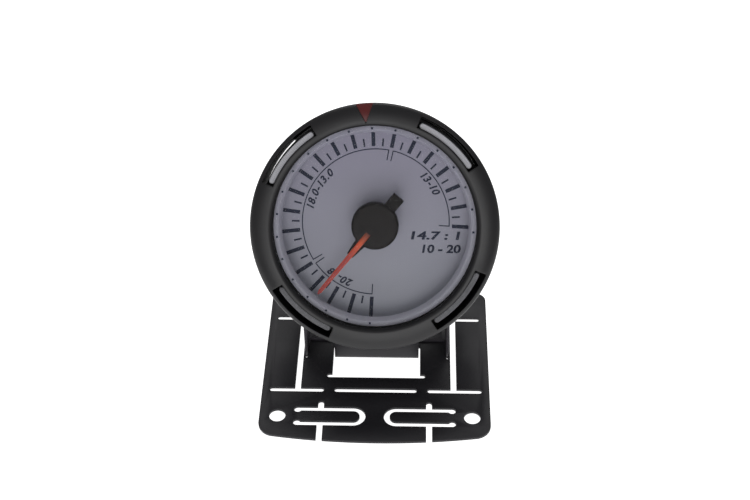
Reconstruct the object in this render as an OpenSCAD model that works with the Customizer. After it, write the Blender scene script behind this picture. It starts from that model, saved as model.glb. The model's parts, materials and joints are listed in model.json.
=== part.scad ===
// Round air and fuel ratio gauge, tilting on a slotted sheet steel bracket.
// Origin: midway between the two fixing holes, on the underside of the base plate.
// X runs to the right, Y to the back and Z up.

/* [Base plate] */
// Thickness of the bracket sheet
plate_t = 0.8; // [0.6:0.1:1.2]
// Width of the base plate
plate_w = 63.4; // [61:0.2:68]
// Distance from the fixing holes back to the rear edge
plate_back = 49.3; // [47:0.1:54]
// Distance from the fixing holes to the front edge, on the middle line
plate_front = 9; // [8:0.1:11]
// Radius of the bowed front edge
front_bow_r = 190; // [150:5:260]
// Corner radius at the front
front_corner_r = 4.6; // [3:0.1:6]
// Corner radius at the rear
rear_corner_r = 3; // [2:0.1:5]
// Diameter of the two fixing holes
fix_hole_d = 4.5; // [4:0.1:5]
// Distance of the fixing holes from the plate's sides
fix_hole_inset = 5; // [4:0.1:6]

/* [Plate slots] */
// Width of the cut slots
slot_w = 1.6; // [1.2:0.1:2]
// Distance of the front bend slots behind the fixing holes
front_slot_y = 9.7; // [8:0.1:11]
// Distance of the rear bend slots behind the fixing holes
rear_slot_y = 38.1; // [37:0.1:41]
// Distance of the outer bend slots from the plate's sides
slot_inset = 2.1; // [1.6:0.1:3]
// Inner end of the outer bend slots, from the middle line
slot_inner_x = 14.4; // [14:0.1:16]
// Half length of the middle bend slots
slot_middle_x = 11.5; // [10:0.1:12]
// Distance of the long side slots from the plate's sides
side_slot_inset = 9.97; // [9.5:0.01:10.2]
// Half height of a U slot, at the middle of its cut
u_arm_y = 2.6; // [2:0.1:3]
// Tip of a U slot's round end, from the middle line
u_tip_x = 2.5; // [2:0.1:4]
// Distance of the U slots' keyholes from the plate's sides
u_end_inset = 10.5; // [10:0.1:11.5]
// Radius of the keyholes
u_keyhole_r = 1.05; // [0.9:0.05:1.2]
// Distance of the short cross slots from the middle line
cross_slot_x = 14.9; // [12:0.1:17]
// Top end of the short cross slots
cross_slot_top_y = 5.5; // [5:0.1:6.5]

/* [Tongue] */
// Half width of the window
window_half_w = 12.35; // [12:0.05:12.8]
// Front edge of the window, behind the fixing holes
window_front_y = 14.45; // [13.5:0.05:15.5]
// Radius of the notches in the window's front corners
notch_r = 0.75; // [0.5:0.05:1]
// Gap on each side of the tongue
tongue_gap = 0.45; // [0.3:0.05:0.6]
// Start of the tongue's bend, behind the fixing holes
tongue_bend_y = 23.85; // [23:0.05:25]
// Inner radius of the sheet's bends
bend_r = 1.2; // [1:0.1:1.6]
// Height of the tongue above the underside of the plate
tongue_h = 8.2; // [6:0.1:9]
// Corner radius of the tongue's free end
tongue_corner_r = 1.5; // [1:0.1:2]
// Rear end of the relief slots beside the tongue
relief_end_y = 26.8; // [26:0.1:28]

/* [Cradle] */
// Inner face of the cradle's arms, from the middle line
cradle_x = 19.7; // [19.5:0.05:20]
// Front edge of the arms, behind the fixing holes
cradle_front_y = 22.95; // [22:0.05:24]
// Front edge of the cradle's floor
cradle_floor_front_y = 28.8; // [28:0.1:30]
// Rear edge of the cradle's floor
cradle_floor_rear_y = 36.6; // [36:0.1:37]
// Height of the arms at their front edge
cradle_front_h = 13; // [9:0.1:14]
// Height of the arms at their low point under the case
cradle_low_h = 10.2; // [9:0.1:11]
// Radius of the arms round the pivot
cradle_end_r = 6.4; // [5.5:0.1:7]
// Diameter of the locating holes at the arms' front corners
dot_hole_d = 0.9; // [0.7:0.05:1]
// Distance of the rivets from the middle line
rivet_x = 9; // [6:0.5:12]
// Diameter of the rivets' shanks
rivet_d = 3; // [2.5:0.1:3.5]
// Diameter of the rivets' heads
rivet_head_d = 5.6; // [5:0.1:6.5]
// Height of the rivets' heads
rivet_head_h = 1.1; // [0.8:0.1:1.5]

/* [Tilt pivot] */
// Distance of the pivot below the gauge's axis, along the back of the case
pivot_drop = 18; // [16:0.5:20]
// Distance of the pivot behind the back of the case
pivot_behind = 8.2; // [8:0.1:9]
// Diameter of the pivot screws
pivot_d = 4; // [3:0.1:4]
// Radial running clearance on the pivot screws
pivot_clear = 0.05; // [0.02:0.01:0.09]
// Diameter of the pivot screws' heads
pivot_head_d = 7.6; // [7:0.1:8.5]
// Height of the pivot screws' heads
pivot_head_h = 2.4; // [2:0.1:3]
// Thickness of the nylon friction washers
washer_t = 0.5; // [0.4:0.05:0.6]
// Diameter of the nylon friction washers
washer_d = 9.6; // [9:0.1:11]
// Width of the pivot nuts across their flats
nut_flats = 7; // [6:0.1:7.5]
// Height of the nuts
nut_h = 3; // [2.4:0.1:3.2]
// Distance of the pivot screws' ends from the middle line
pivot_end_x = 14.6; // [13:0.1:15]

/* [Yoke] */
// Thickness of the yoke's sheet
yoke_t = 1; // [0.8:0.1:1.2]
// Height of the yoke's web
yoke_web_h = 22; // [18:0.5:24]
// Upper edge of the yoke's web, below the gauge's axis
yoke_top_drop = 4; // [3:0.1:5]
// Radius of the yoke's arms round the pivot
yoke_end_r = 5.8; // [5:0.1:6]
// Distance of the studs from the middle line
stud_x = 12; // [10:0.1:13]
// Distance of the studs below the gauge's axis
stud_drop = 9.5; // [8:0.1:10]
// Diameter of the studs
stud_d = 4; // [3.5:0.1:4]
// Length of the studs behind the back of the case
stud_len = 8; // [7.5:0.1:9]

/* [Gauge place] */
// Distance of the dial opening's centre behind the fixing holes
gauge_y = 18.95; // [18:0.05:20]
// Height of the dial opening's centre
gauge_z = 52.4; // [51.5:0.1:54]
// Angle by which the dial looks upwards
gauge_tilt = 32; // [30:0.5:34]

/* [Bezel] */
// Outer diameter of the bezel
bezel_d = 65; // [64:0.1:67]
// Width of the bezel's face from the opening to the widest line
face_w = 5.9; // [5.8:0.1:6.2]
// Width of the bevel round the opening
bevel_w = 1.3; // [1:0.1:1.6]
// Height of the bezel's crown above the opening's edge
crown_h = 0.9; // [0.6:0.1:1.2]
// Depth of the bezel's widest line behind the opening's edge
rim_drop = 0.6; // [0.4:0.1:1]
// Depth of the skirt behind the opening's edge
skirt_depth = 9; // [8:0.1:10]
// Inward taper of the skirt
skirt_taper = 1; // [0.8:0.1:1.2]
// Thickness of the skirt
skirt_t = 0.9; // [0.8:0.05:1]
// Thickness of the bezel's face below the opening's edge
face_t = 1.5; // [1.3:0.1:1.6]
// Thickness of the lip in front of the lens
lip_t = 0.7; // [0.6:0.1:0.8]
// Angle by which the bezel is turned clockwise
bezel_turn = -4.9; // [-10:0.1:10]

/* [Bezel windows] */
// Distance of the rim windows from the opening
window_inset = 1.75; // [1.6:0.05:1.9]
// Width of the rim left outside the windows
window_rim = 1.05; // [1:0.05:1.2]
// Angle that each rim window spans
window_a = 36; // [30:0.5:40]
// Thickness of the light strips
strip_t = 4.6; // [3:0.1:4.8]
// Width of the light strips
strip_w = 1.3; // [1:0.1:1.4]
// Angle by which a light strip is shorter than its window
strip_short_a = 4; // [3:0.5:8]

/* [Marker] */
// Width of the red marker at the rim
marker_w = 4.7; // [4:0.1:6]
// Distance of the red marker's point from the opening
marker_inset = 0.9; // [0.6:0.1:2.4]
// Gap on each side of the red inlay
marker_gap = 0.35; // [0.1:0.05:0.5]
// Depth of the marker's notch below the opening's edge
marker_depth = 0.4; // [0.2:0.1:0.8]
// Thickness of the marker's inlay
marker_t = 0.6; // [0.5:0.1:1]

/* [Lens and spacer] */
// Width of the lens's edge under the lip
lens_grip = 0.35; // [0.2:0.05:0.4]
// Thickness of the lens
lens_t = 1.2; // [1:0.1:1.4]
// Thickness of the lens gasket
gasket_t = 0.5; // [0.4:0.1:0.7]
// Width of the lens gasket
gasket_w = 0.45; // [0.4:0.05:0.6]
// Width of the spacer's front flange
flange_w = 1.65; // [1.4:0.05:1.8]
// Thickness of the spacer's front flange
flange_t = 0.8; // [0.6:0.1:1]
// Width of the spacer's cone inside the flange
cone_w = 0.75; // [0.4:0.05:1]
// Height of the spacer's cone
cone_h = 2.6; // [1.6:0.1:3.4]
// Thickness of the spacer's wall
spacer_wall_t = 0.65; // [0.5:0.05:0.8]

/* [Dial] */
// Depth of the dial's face behind the opening's edge
dial_depth = 11; // [10.5:0.1:12]
// Thickness of the dial
dial_t = 0.8; // [0.6:0.1:1]
// Diameter of the hole for the pointer's boss
dial_hole_d = 4.4; // [4:0.1:5]

/* [Dial print] */
// Thickness of the printed marks
print_t = 0.05; // [0.04:0.01:0.1]
// Angle of the first mark, clockwise from the top
scale_start_a = 182.6; // [178:0.1:186]
// Angle that the scale spans
scale_a = 270; // [240:5:280]
// Number of thick marks
scale_n = 21; // [11:5:21]
// Distance of the marks' inner ends inside the opening
mark_inset = 6.25; // [5.6:0.05:6.6]
// Length of the thick marks
mark_len = 5.55; // [3:0.05:5.6]
// Width of the thick marks
mark_w = 1; // [0.6:0.05:1.2]
// Length of the thin marks
thin_len = 2.1; // [1.5:0.1:3]
// Width of the thin marks
thin_w = 0.45; // [0.3:0.05:0.6]
// Distance of the zone line inside the opening
zone_inset = 7; // [6.6:0.05:7.6]
// Width of the zone line
zone_w = 0.28; // [0.2:0.02:0.4]
// Half of the gap between two zones
zone_gap = 0.6; // [0.4:0.05:0.8]
// Length of the zones' end lines
zone_end_len = 2.9; // [2:0.1:4]
// Thick marks on which one zone ends and the next begins
zone_breaks = [4, 14];
// Distance of the small marks inside the opening
ring_mark_inset = 0.85; // [0.7:0.05:0.9]
// Size of the small marks on the spacer
ring_mark_w = 0.8; // [0.5:0.05:0.8]

/* [Pointer] */
// Angle of the pointer at rest, clockwise from the top
pointer_a = 219.4; // [182:0.1:450]
// Diameter of the pointer's cap
cap_d = 12.4; // [11:0.1:14]
// Depth of the cap's top behind the opening's edge
cap_depth = 3; // [2.8:0.1:4.6]
// Thickness of the cap
cap_t = 3.4; // [3:0.1:4]
// Bevel round the cap's top
cap_bevel = 0.5; // [0.3:0.1:0.8]
// Length of the tail from the axis
tail_len = 9.8; // [8:0.1:11]
// Width of the tail
tail_w = 3.3; // [2.5:0.1:4]
// Thickness of the tail
tail_t = 2.2; // [1.8:0.1:2.4]
// Length of the neck from the axis
neck_len = 10.4; // [9:0.1:12]
// Width of the neck at the cap
neck_w = 4.6; // [4:0.1:5]
// Width of the neck at its end
neck_end_w = 1.9; // [1.8:0.1:2.4]
// Thickness of the neck under the needle
neck_t = 1.4; // [1:0.1:1.6]
// Start of the needle from the axis
needle_start = 2.6; // [2:0.1:4]
// Distance of the needle's tip inside the opening
needle_inset = 3; // [2.4:0.1:5]
// Width of the needle at its root
needle_w = 1.5; // [1.2:0.05:1.7]
// Width of the needle at its tip
needle_tip_w = 0.9; // [0.6:0.05:1]
// Thickness of the needle
needle_t = 0.9; // [0.7:0.05:1.1]
// Depth of the needle's top below the cap's top
needle_sink = 0.5; // [0.3:0.1:0.7]
// Diameter of the motor's shaft
shaft_d = 1.5; // [1.2:0.1:1.8]
// Diameter of the cap's boss round the shaft
boss_d = 3.4; // [3:0.1:3.6]

/* [Case] */
// Gap between the bezel's skirt and the case
skirt_gap = 0.2; // [0.1:0.05:0.5]
// Step from the case's mouth down to its body
body_step = 1; // [0.6:0.1:1.2]
// Length of the wide mouth behind the opening's edge
mouth_end = 12.4; // [12:0.1:14]
// Depth of the case's front edge behind the opening's edge
mouth_depth = 4.5; // [4.4:0.1:4.8]
// Thickness of the case's wall at its mouth
mouth_wall_t = 2.2; // [2:0.05:2.4]
// Width of the ledge under the dial and the light guide
guide_ledge = 1.4; // [1.1:0.1:1.7]
// Width of the ledge under the light board
board_ledge = 0.9; // [0.7:0.1:1.3]
// Depth of the case's back behind the opening's edge
case_depth = 34; // [33.5:0.1:35]
// Thickness of the rear cover
cover_t = 2; // [1.8:0.1:2.4]
// Number of ribs on the case's body
rib_n = 3; // [2:1:4]
// Height of the ribs on the case's body
rib_h = 0.4; // [0.2:0.1:0.6]
// Width of the ribs on the case's body
rib_w = 1.2; // [0.8:0.1:1.6]
// Number of rear cover screws
cover_screw_n = 3; // [3:1:4]
// Diameter of the rear cover screws
cover_screw_d = 1.6; // [1.4:0.1:1.8]
// Diameter of the rear cover screws' heads
cover_head_d = 3; // [2.6:0.1:3.2]

/* [Inside] */
// Thickness of the light guide behind the dial
guide_t = 2; // [1.5:0.1:2.5]
// Distance from the light guide to the light board
reflector_h = 4.2; // [3.5:0.1:5]
// Thickness of the reflector's wall
reflector_t = 1; // [0.8:0.1:1.2]
// Thickness of the circuit boards
board_t = 1.6; // [1.2:0.1:1.6]
// Number of lamps on the light board
led_n = 12; // [8:1:16]
// Distance of the ring of lamps inside the case's wall
led_inset = 6.8; // [4.8:0.2:8.8]
// Length of a lamp
led_l = 3.5; // [2.8:0.1:4]
// Width of a lamp
led_w = 2.8; // [2:0.1:3]
// Height of a lamp
led_h = 0.8; // [0.6:0.1:1]
// Radius of the motor housing's round end, as a share of the main board's radius
motor_share = 0.32; // [0.3:0.01:0.34]
// Width of the motor housing's narrow end, as a share of the main board's radius
motor_w_share = 0.48; // [0.4:0.01:0.56]
// Length of the motor housing, as a share of the main board's radius
motor_len_share = 0.72; // [0.64:0.01:0.8]
// Gap between the motor housing and the main board
motor_gap = 1.2; // [0.8:0.1:1.9]
// Gap between the main board and the rear cover
board_gap = 2.4; // [2.2:0.1:3]
// Diameter of the posts
post_d = 4; // [3.5:0.1:4.5]
// Distance of the posts' ring inside the case's wall
post_inset = 4.9; // [4.2:0.1:5.9]
// Gap round the main board
board_edge_gap = 0.9; // [0.4:0.1:1.9]

/* [Sockets] */
// Width of a socket
socket_w = 9.6; // [9:0.1:11]
// Height of a socket
socket_h = 6.4; // [6:0.1:7]
// Distance of the sockets from the middle line
socket_x = 6.6; // [6.2:0.1:7]
// Distance of the sockets above the gauge's axis
socket_rise = 6.5; // [5.5:0.1:8]
// Length of the sockets behind the back of the case
socket_out = 4.6; // [4:0.1:6]
// Thickness of the sockets' walls
socket_wall = 0.9; // [0.8:0.1:1]
// Number of pins in a socket
pin_n = 3; // [2:1:4]
// Pitch of the socket pins
pin_pitch = 2.5; // [2:0.1:2.5]
// Width of a socket pin
pin_w = 0.64; // [0.5:0.02:0.7]

/* [Hidden] */
// Overrun of the cuts
over = 0.5;
// Radial clearance between parts that drop into each other
fit = 0.1;
// Clearance between faces that slide past each other
play = 0.05;
$fn = 64;
strip_fn = 48;
crown_steps = 10;

fix_hole_x = plate_w / 2 - fix_hole_inset;
slot_outer_x = plate_w / 2 - slot_inset;
side_slot_x = plate_w / 2 - side_slot_inset;
u_end_x = plate_w / 2 - u_end_inset;
bezel_r = bezel_d / 2;
opening_r = bezel_r - face_w;
lens_r = opening_r + lens_grip;
gasket_in_r = lens_r - gasket_w;
flange_in_r = lens_r - flange_w;
spacer_in_r = lens_r - spacer_wall_t;
case_r = bezel_r - skirt_taper - skirt_t - skirt_gap;
case_body_r = case_r - body_step;
mouth_in_r = case_r - mouth_wall_t;
reflector_bore_r = mouth_in_r - guide_ledge;
board_bore_r = reflector_bore_r - board_ledge;
main_board_r = board_bore_r - board_edge_gap;
led_r = reflector_bore_r - led_inset;
post_r = board_bore_r - post_inset;
motor_r = main_board_r * motor_share;
motor_w = main_board_r * motor_w_share;
motor_len = main_board_r * motor_len_share;
collar_in_r = lens_r + fit;
collar_out_r = mouth_in_r - fit;
skirt_rear_r = bezel_r - skirt_taper;
crown_start_r = opening_r + bevel_w;
window_in_r = opening_r + window_inset;
window_out_r = bezel_r - window_rim;
marker_tip_r = opening_r + marker_inset;
mark_in_r = opening_r - mark_inset;
zone_r = opening_r - zone_inset;
ring_mark_r = opening_r - ring_mark_inset;
needle_len = opening_r - needle_inset;
spacer_front = lip_t + lens_t + gasket_t;
guide_back = dial_depth + dial_t + guide_t;
light_board_front = guide_back + reflector_h;
light_board_back = light_board_front + board_t;
cover_front = case_depth - cover_t;
main_board_back = cover_front - board_gap;
main_board_front = main_board_back - board_t;
post_h = main_board_front - light_board_back;
motor_h = post_h - motor_gap;
yoke_x = cradle_x - washer_t;
pivot_back = case_depth + pivot_behind;
yoke_back = case_depth + yoke_t;
cradle_z = 2 * plate_t;
scale_step_a = scale_a / (scale_n - 1);
sine = sin(gauge_tilt);
cosine = cos(gauge_tilt);
pivot_y = gauge_y - pivot_drop * sine + pivot_back * cosine;
pivot_z = gauge_z - pivot_drop * cosine - pivot_back * sine;

// Moves its children from the gauge's own frame to the part's frame.
// In the gauge's frame the axis is Z, towards the viewer, and Y is up along the dial.
module at_gauge() {
    translate([0, gauge_y, gauge_z]) rotate([90 - gauge_tilt, 0, 0]) children();
}

// A ring or a disc in the gauge's frame, from a front depth to a back depth.
module gauge_ring(outer_r, inner_r, front, back) {
    translate([0, 0, -back]) difference() {
        cylinder(r = outer_r, h = back - front);
        translate([0, 0, -over]) cylinder(r = inner_r, h = back - front + 2 * over);
    }
}

// A round-ended slot between two points on one line along X.
module slot_x(x0, x1, y, w) {
    translate([x0 + w / 2, y - w / 2]) square([x1 - x0 - w, w]);
    for (x = [x0 + w / 2, x1 - w / 2]) translate([x, y]) circle(d = w);
}

// A round-ended slot between two points on one line along Y.
module slot_y(y0, y1, x, w) {
    translate([x - w / 2, y0 + w / 2]) square([w, y1 - y0 - w]);
    for (y = [y0 + w / 2, y1 - w / 2]) translate([x, y]) circle(d = w);
}

// The corner between the bowed front edge and the right side, cut round.
module front_corner_cut() {
    bow_y = front_bow_r - plate_front;
    c_x = plate_w / 2 - front_corner_r;
    c_y = bow_y - sqrt(pow(front_bow_r - front_corner_r, 2) - pow(c_x, 2));
    out = [c_x, c_y - bow_y] / (front_bow_r - front_corner_r);
    tangent = [0, bow_y] + (front_bow_r + over) * out;
    difference() {
        polygon([[c_x, c_y], [plate_w / 2 + over, c_y], [plate_w / 2 + over, tangent[1]], tangent]);
        translate([c_x, c_y]) circle(r = front_corner_r);
    }
}

// The rear right corner, cut round.
module rear_corner_cut() {
    translate([plate_w / 2 - rear_corner_r, plate_back - rear_corner_r]) difference() {
        square(rear_corner_r + over);
        circle(r = rear_corner_r);
    }
}

// The outline of the base plate before its slots are cut.
module plate_outline() {
    difference() {
        intersection() {
            translate([-plate_w / 2, -plate_front]) square([plate_w, plate_front + plate_back]);
            translate([0, front_bow_r - plate_front]) circle(r = front_bow_r, $fn = 256);
        }
        for (side = [0, 1]) mirror([side, 0]) {
            front_corner_cut();
            rear_corner_cut();
        }
    }
}

// The U slot on the right, with its keyholes and cross slots.
module u_slot() {
    arc_x = u_tip_x + slot_w / 2 + u_arm_y;
    outer_r = u_arm_y + slot_w / 2;
    inner_r = u_arm_y - slot_w / 2;
    difference() {
        union() {
            translate([arc_x, 0]) circle(r = outer_r);
            translate([arc_x, -outer_r]) square([u_end_x - arc_x, 2 * outer_r]);
        }
        translate([arc_x, 0]) circle(r = inner_r);
        translate([arc_x, -inner_r]) square([u_end_x - arc_x + over, 2 * inner_r]);
    }
    for (y = [-1, 1]) translate([u_end_x, y * (outer_r - u_keyhole_r)]) circle(r = u_keyhole_r);
    slot_y(u_arm_y, cross_slot_top_y, cross_slot_x, slot_w);
    translate([cross_slot_x - slot_w / 2, -plate_front - over])
        square([slot_w, plate_front + over - u_arm_y]);
}

// The bend slots across the plate at one distance behind the fixing holes.
module bend_slots(y) {
    slot_x(-slot_middle_x, slot_middle_x, y, slot_w);
    for (side = [0, 1]) mirror([side, 0]) slot_x(slot_inner_x, slot_outer_x, y, slot_w);
}

// The window that the tongue was bent out of, with its notches and relief slots.
module tongue_window() {
    translate([-window_half_w, window_front_y])
        square([2 * window_half_w, tongue_bend_y - window_front_y]);
    for (side = [0, 1]) mirror([side, 0]) {
        slot_x(window_half_w - 2 * notch_r, window_half_w + 2 * notch_r, window_front_y + notch_r,
            2 * notch_r);
        translate([window_half_w - tongue_gap, window_front_y + over])
            square([tongue_gap, relief_end_y - window_front_y - over - tongue_gap / 2]);
        translate([window_half_w - tongue_gap / 2, relief_end_y - tongue_gap / 2])
            circle(d = tongue_gap);
    }
}

// The tongue's bend and its upright part.
module tongue() {
    tongue_w = 2 * (window_half_w - tongue_gap);
    outer_r = bend_r + plate_t;
    translate([-tongue_w / 2, tongue_bend_y, outer_r]) rotate([0, 90, 0]) rotate([0, 0, -90])
        rotate_extrude(angle = 90) translate([bend_r, 0]) square([plate_t, tongue_w]);
    translate([0, tongue_bend_y - bend_r, 0]) rotate([90, 0, 0]) linear_extrude(plate_t)
        difference() {
            translate([-tongue_w / 2, outer_r]) square([tongue_w, tongue_h - outer_r]);
            for (side = [0, 1]) mirror([side, 0])
                translate([tongue_w / 2 - tongue_corner_r, tongue_h - tongue_corner_r])
                    difference() {
                        square(tongue_corner_r + over);
                        circle(r = tongue_corner_r);
                    }
        }
}

module base_plate() {
    color([0.13, 0.13, 0.14]) {
        linear_extrude(plate_t) difference() {
            plate_outline();
            for (side = [0, 1]) mirror([side, 0]) {
                translate([fix_hole_x, 0]) circle(d = fix_hole_d);
                u_slot();
                slot_y(front_slot_y - slot_w / 2, rear_slot_y + slot_w / 2, side_slot_x, slot_w);
                translate([cradle_x + plate_t / 2, cradle_front_y - dot_hole_d / 2])
                    circle(d = dot_hole_d);
                translate([rivet_x, (cradle_floor_front_y + cradle_floor_rear_y) / 2])
                    circle(d = rivet_d);
            }
            bend_slots(front_slot_y);
            bend_slots(rear_slot_y);
            tongue_window();
        }
        tongue();
    }
}

// One arm of the cradle, drawn in the plane of Y and Z.
module cradle_arm_outline() {
    floor_top = cradle_z + bend_r;
    relief = plate_t;
    polygon([
        [cradle_front_y, plate_t + play],
        [cradle_front_y, cradle_front_h],
        [pivot_y - cradle_end_r - plate_t, cradle_low_h],
        [pivot_y - cradle_end_r * cos(20), pivot_z + cradle_end_r * sin(20)],
        [pivot_y, pivot_z],
        [pivot_y + cradle_end_r * cos(60), pivot_z - cradle_end_r * sin(60)],
        [cradle_floor_rear_y, floor_top],
        [cradle_floor_front_y, floor_top],
        [cradle_floor_front_y, floor_top + relief],
        [cradle_floor_front_y - relief, floor_top + relief],
        [cradle_floor_front_y - relief, plate_t + play]
    ]);
    translate([pivot_y, pivot_z]) circle(r = cradle_end_r);
}

module cradle() {
    floor_len = cradle_floor_rear_y - cradle_floor_front_y;
    floor_x = cradle_x - bend_r;
    color([0.16, 0.16, 0.17]) {
        difference() {
            translate([-floor_x, cradle_floor_front_y, plate_t])
                cube([2 * floor_x, floor_len, plate_t]);
            for (x = [-rivet_x, rivet_x])
                translate([x, cradle_floor_front_y + floor_len / 2, 0])
                    cylinder(d = rivet_d, h = cradle_z + over);
        }
        for (side = [0, 1]) mirror([side, 0, 0]) {
            translate([floor_x, cradle_floor_rear_y, cradle_z + bend_r]) rotate([90, 0, 0])
                rotate([0, 0, -90]) rotate_extrude(angle = 90) translate([bend_r, 0])
                    square([plate_t, floor_len]);
            difference() {
                translate([cradle_x, 0, 0]) rotate([90, 0, 90]) linear_extrude(plate_t)
                    cradle_arm_outline();
                translate([cradle_x - over, pivot_y, pivot_z]) rotate([0, 90, 0])
                    cylinder(d = pivot_d + 2 * pivot_clear, h = plate_t + 2 * over);
            }
        }
    }
}

module cradle_rivets() {
    dome_r = (pow(rivet_head_d / 2, 2) + pow(rivet_head_h, 2)) / (2 * rivet_head_h);
    color("silver") for (x = [-rivet_x, rivet_x])
        translate([x, (cradle_floor_front_y + cradle_floor_rear_y) / 2, 0]) {
            cylinder(d = rivet_d, h = cradle_z + rivet_head_h / 2);
            intersection() {
                translate([0, 0, cradle_z + rivet_head_h - dome_r]) sphere(r = dome_r);
                translate([0, 0, cradle_z]) cylinder(d = rivet_head_d, h = rivet_head_h);
            }
        }
}

// Places its children on the right and left pivot, with Z pointing outwards along the pivot.
module at_pivots() {
    for (side = [0, 1]) mirror([side, 0, 0]) translate([0, pivot_y, pivot_z])
        rotate([0, 90, 0]) children();
}

module pivot_screws() {
    head_x = cradle_x + plate_t;
    slot = pivot_head_d / 8;
    color("dimgray") at_pivots() {
        translate([0, 0, pivot_end_x]) cylinder(d = pivot_d, h = head_x - pivot_end_x);
        difference() {
            translate([0, 0, head_x]) cylinder(d = pivot_head_d, h = pivot_head_h);
            for (a = [0, 90]) rotate([0, 0, a])
                translate([-pivot_head_d / 4, -slot / 2, head_x + pivot_head_h / 2])
                    cube([pivot_head_d / 2, slot, pivot_head_h]);
        }
    }
}

module friction_washers() {
    color("ivory") at_pivots() difference() {
        translate([0, 0, yoke_x + play]) cylinder(d = washer_d, h = washer_t - play);
        cylinder(d = pivot_d + 2 * pivot_clear, h = cradle_x + over);
    }
}

// A hexagonal nut with a true bore, standing on the plane of X and Y.
module hex_nut(bore_d) {
    difference() {
        cylinder(d = nut_flats / cos(30), h = nut_h, $fn = 6);
        translate([0, 0, -over]) cylinder(d = bore_d, h = nut_h + 2 * over);
    }
}

module pivot_nuts() {
    color("silver") at_pivots() translate([0, 0, yoke_x - yoke_t - play - nut_h]) hex_nut(pivot_d);
}

// One arm of the yoke, drawn with X as the depth behind the opening and Y as the height on the dial.
module yoke_arm_outline() {
    web_top = -yoke_top_drop - yoke_t;
    web_low = -yoke_top_drop - yoke_web_h + yoke_t;
    start = yoke_back + bend_r;
    difference() {
        union() {
            polygon([
                [start, web_top],
                [start, web_low],
                [pivot_back + yoke_end_r * cos(110), -pivot_drop - yoke_end_r * sin(110)],
                [pivot_back, -pivot_drop],
                [pivot_back + yoke_end_r * cos(40), -pivot_drop + yoke_end_r * sin(40)]
            ]);
            translate([pivot_back, -pivot_drop]) circle(r = yoke_end_r);
        }
        translate([yoke_back - over, web_low - yoke_web_h])
            square([bend_r + over, 2 * yoke_web_h]);
    }
}

module yoke() {
    web_x = yoke_x - yoke_t - bend_r;
    arm_h = yoke_web_h - 2 * yoke_t;
    color([0.2, 0.2, 0.21]) at_gauge() {
        difference() {
            translate([-web_x, -yoke_top_drop - yoke_web_h, -yoke_back])
                cube([2 * web_x, yoke_web_h, yoke_t]);
            for (x = [-stud_x, stud_x]) translate([x, -stud_drop, -yoke_back - over])
                cylinder(d = stud_d + 4 * fit, h = yoke_t + 2 * over);
        }
        for (side = [0, 1]) mirror([side, 0, 0]) {
            translate([web_x, -yoke_top_drop - yoke_t, -yoke_back - bend_r]) rotate([90, 0, 0])
                rotate_extrude(angle = 90) translate([bend_r, 0]) square([yoke_t, arm_h]);
            difference() {
                translate([yoke_x - yoke_t, 0, 0]) rotate([0, 90, 0]) linear_extrude(yoke_t)
                    yoke_arm_outline();
                translate([yoke_x - yoke_t - over, -pivot_drop, -pivot_back]) rotate([0, 90, 0])
                    cylinder(d = pivot_d + 2 * pivot_clear, h = yoke_t + 2 * over);
            }
        }
    }
}

// Places its children on the two studs.
module at_studs() {
    at_gauge() for (x = [-stud_x, stud_x]) translate([x, -stud_drop, 0]) children();
}

module mounting_studs() {
    flange_t = cover_t / 3;
    color("silver") at_studs() {
        translate([0, 0, -case_depth - stud_len]) cylinder(d = stud_d, h = stud_len + cover_t);
        translate([0, 0, -cover_front]) cylinder(d = nut_flats, h = flange_t);
    }
}

module stud_washers() {
    color("silver") at_studs() difference() {
        translate([0, 0, -yoke_back - plate_t]) cylinder(d = 2 * stud_d + yoke_t, h = plate_t);
        translate([0, 0, -yoke_back - plate_t - over])
            cylinder(d = stud_d + 2 * fit, h = plate_t + 2 * over);
    }
}

module stud_nuts() {
    color("silver") at_studs() translate([0, 0, -yoke_back - plate_t - nut_h]) hex_nut(stud_d);
}

// The cover screws' places round the upper half of the case's back, above the yoke.
module at_cover_screws() {
    screw_r = (board_bore_r + mouth_in_r) / 2;
    for (i = [0 : cover_screw_n - 1]) rotate([0, 0, i * 180 / (cover_screw_n - 1)])
        translate([screw_r, 0, 0]) children();
}

module case() {
    rib_zone = case_depth - mouth_end;
    color([0.1, 0.1, 0.11]) at_gauge() difference() {
        union() {
            translate([0, 0, -mouth_end]) cylinder(r = case_r, h = mouth_end - mouth_depth);
            translate([0, 0, -case_depth]) cylinder(r = case_body_r, h = case_depth - mouth_depth);
            for (i = [1 : rib_n])
                translate([0, 0, -mouth_end - i * rib_zone / (rib_n + 1) - rib_w / 2])
                    cylinder(r = case_body_r + rib_h, h = rib_w);
        }
        translate([0, 0, -guide_back]) cylinder(r = mouth_in_r, h = guide_back);
        translate([0, 0, -light_board_back]) cylinder(r = reflector_bore_r, h = light_board_back);
        translate([0, 0, -case_depth - over]) cylinder(r = board_bore_r, h = case_depth);
        translate([0, 0, -case_depth - over]) cylinder(r = mouth_in_r, h = cover_t + over);
        at_cover_screws() translate([0, 0, -case_depth]) cylinder(d = cover_screw_d, h = 4 * cover_t);
    }
}

module rear_cover() {
    color([0.14, 0.14, 0.15]) at_gauge() difference() {
        translate([0, 0, -case_depth]) cylinder(r = mouth_in_r - fit, h = cover_t);
        for (x = [-stud_x, stud_x]) translate([x, -stud_drop, -case_depth - over])
            cylinder(d = stud_d, h = cover_t + 2 * over);
        for (x = [-socket_x, socket_x]) translate([x, socket_rise, -case_depth - over])
            linear_extrude(cover_t + 2 * over)
                square([socket_w + 2 * fit, socket_h + 2 * fit], center = true);
        at_cover_screws() translate([0, 0, -case_depth - over])
            cylinder(d = cover_screw_d, h = cover_t + 2 * over);
    }
}

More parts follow.
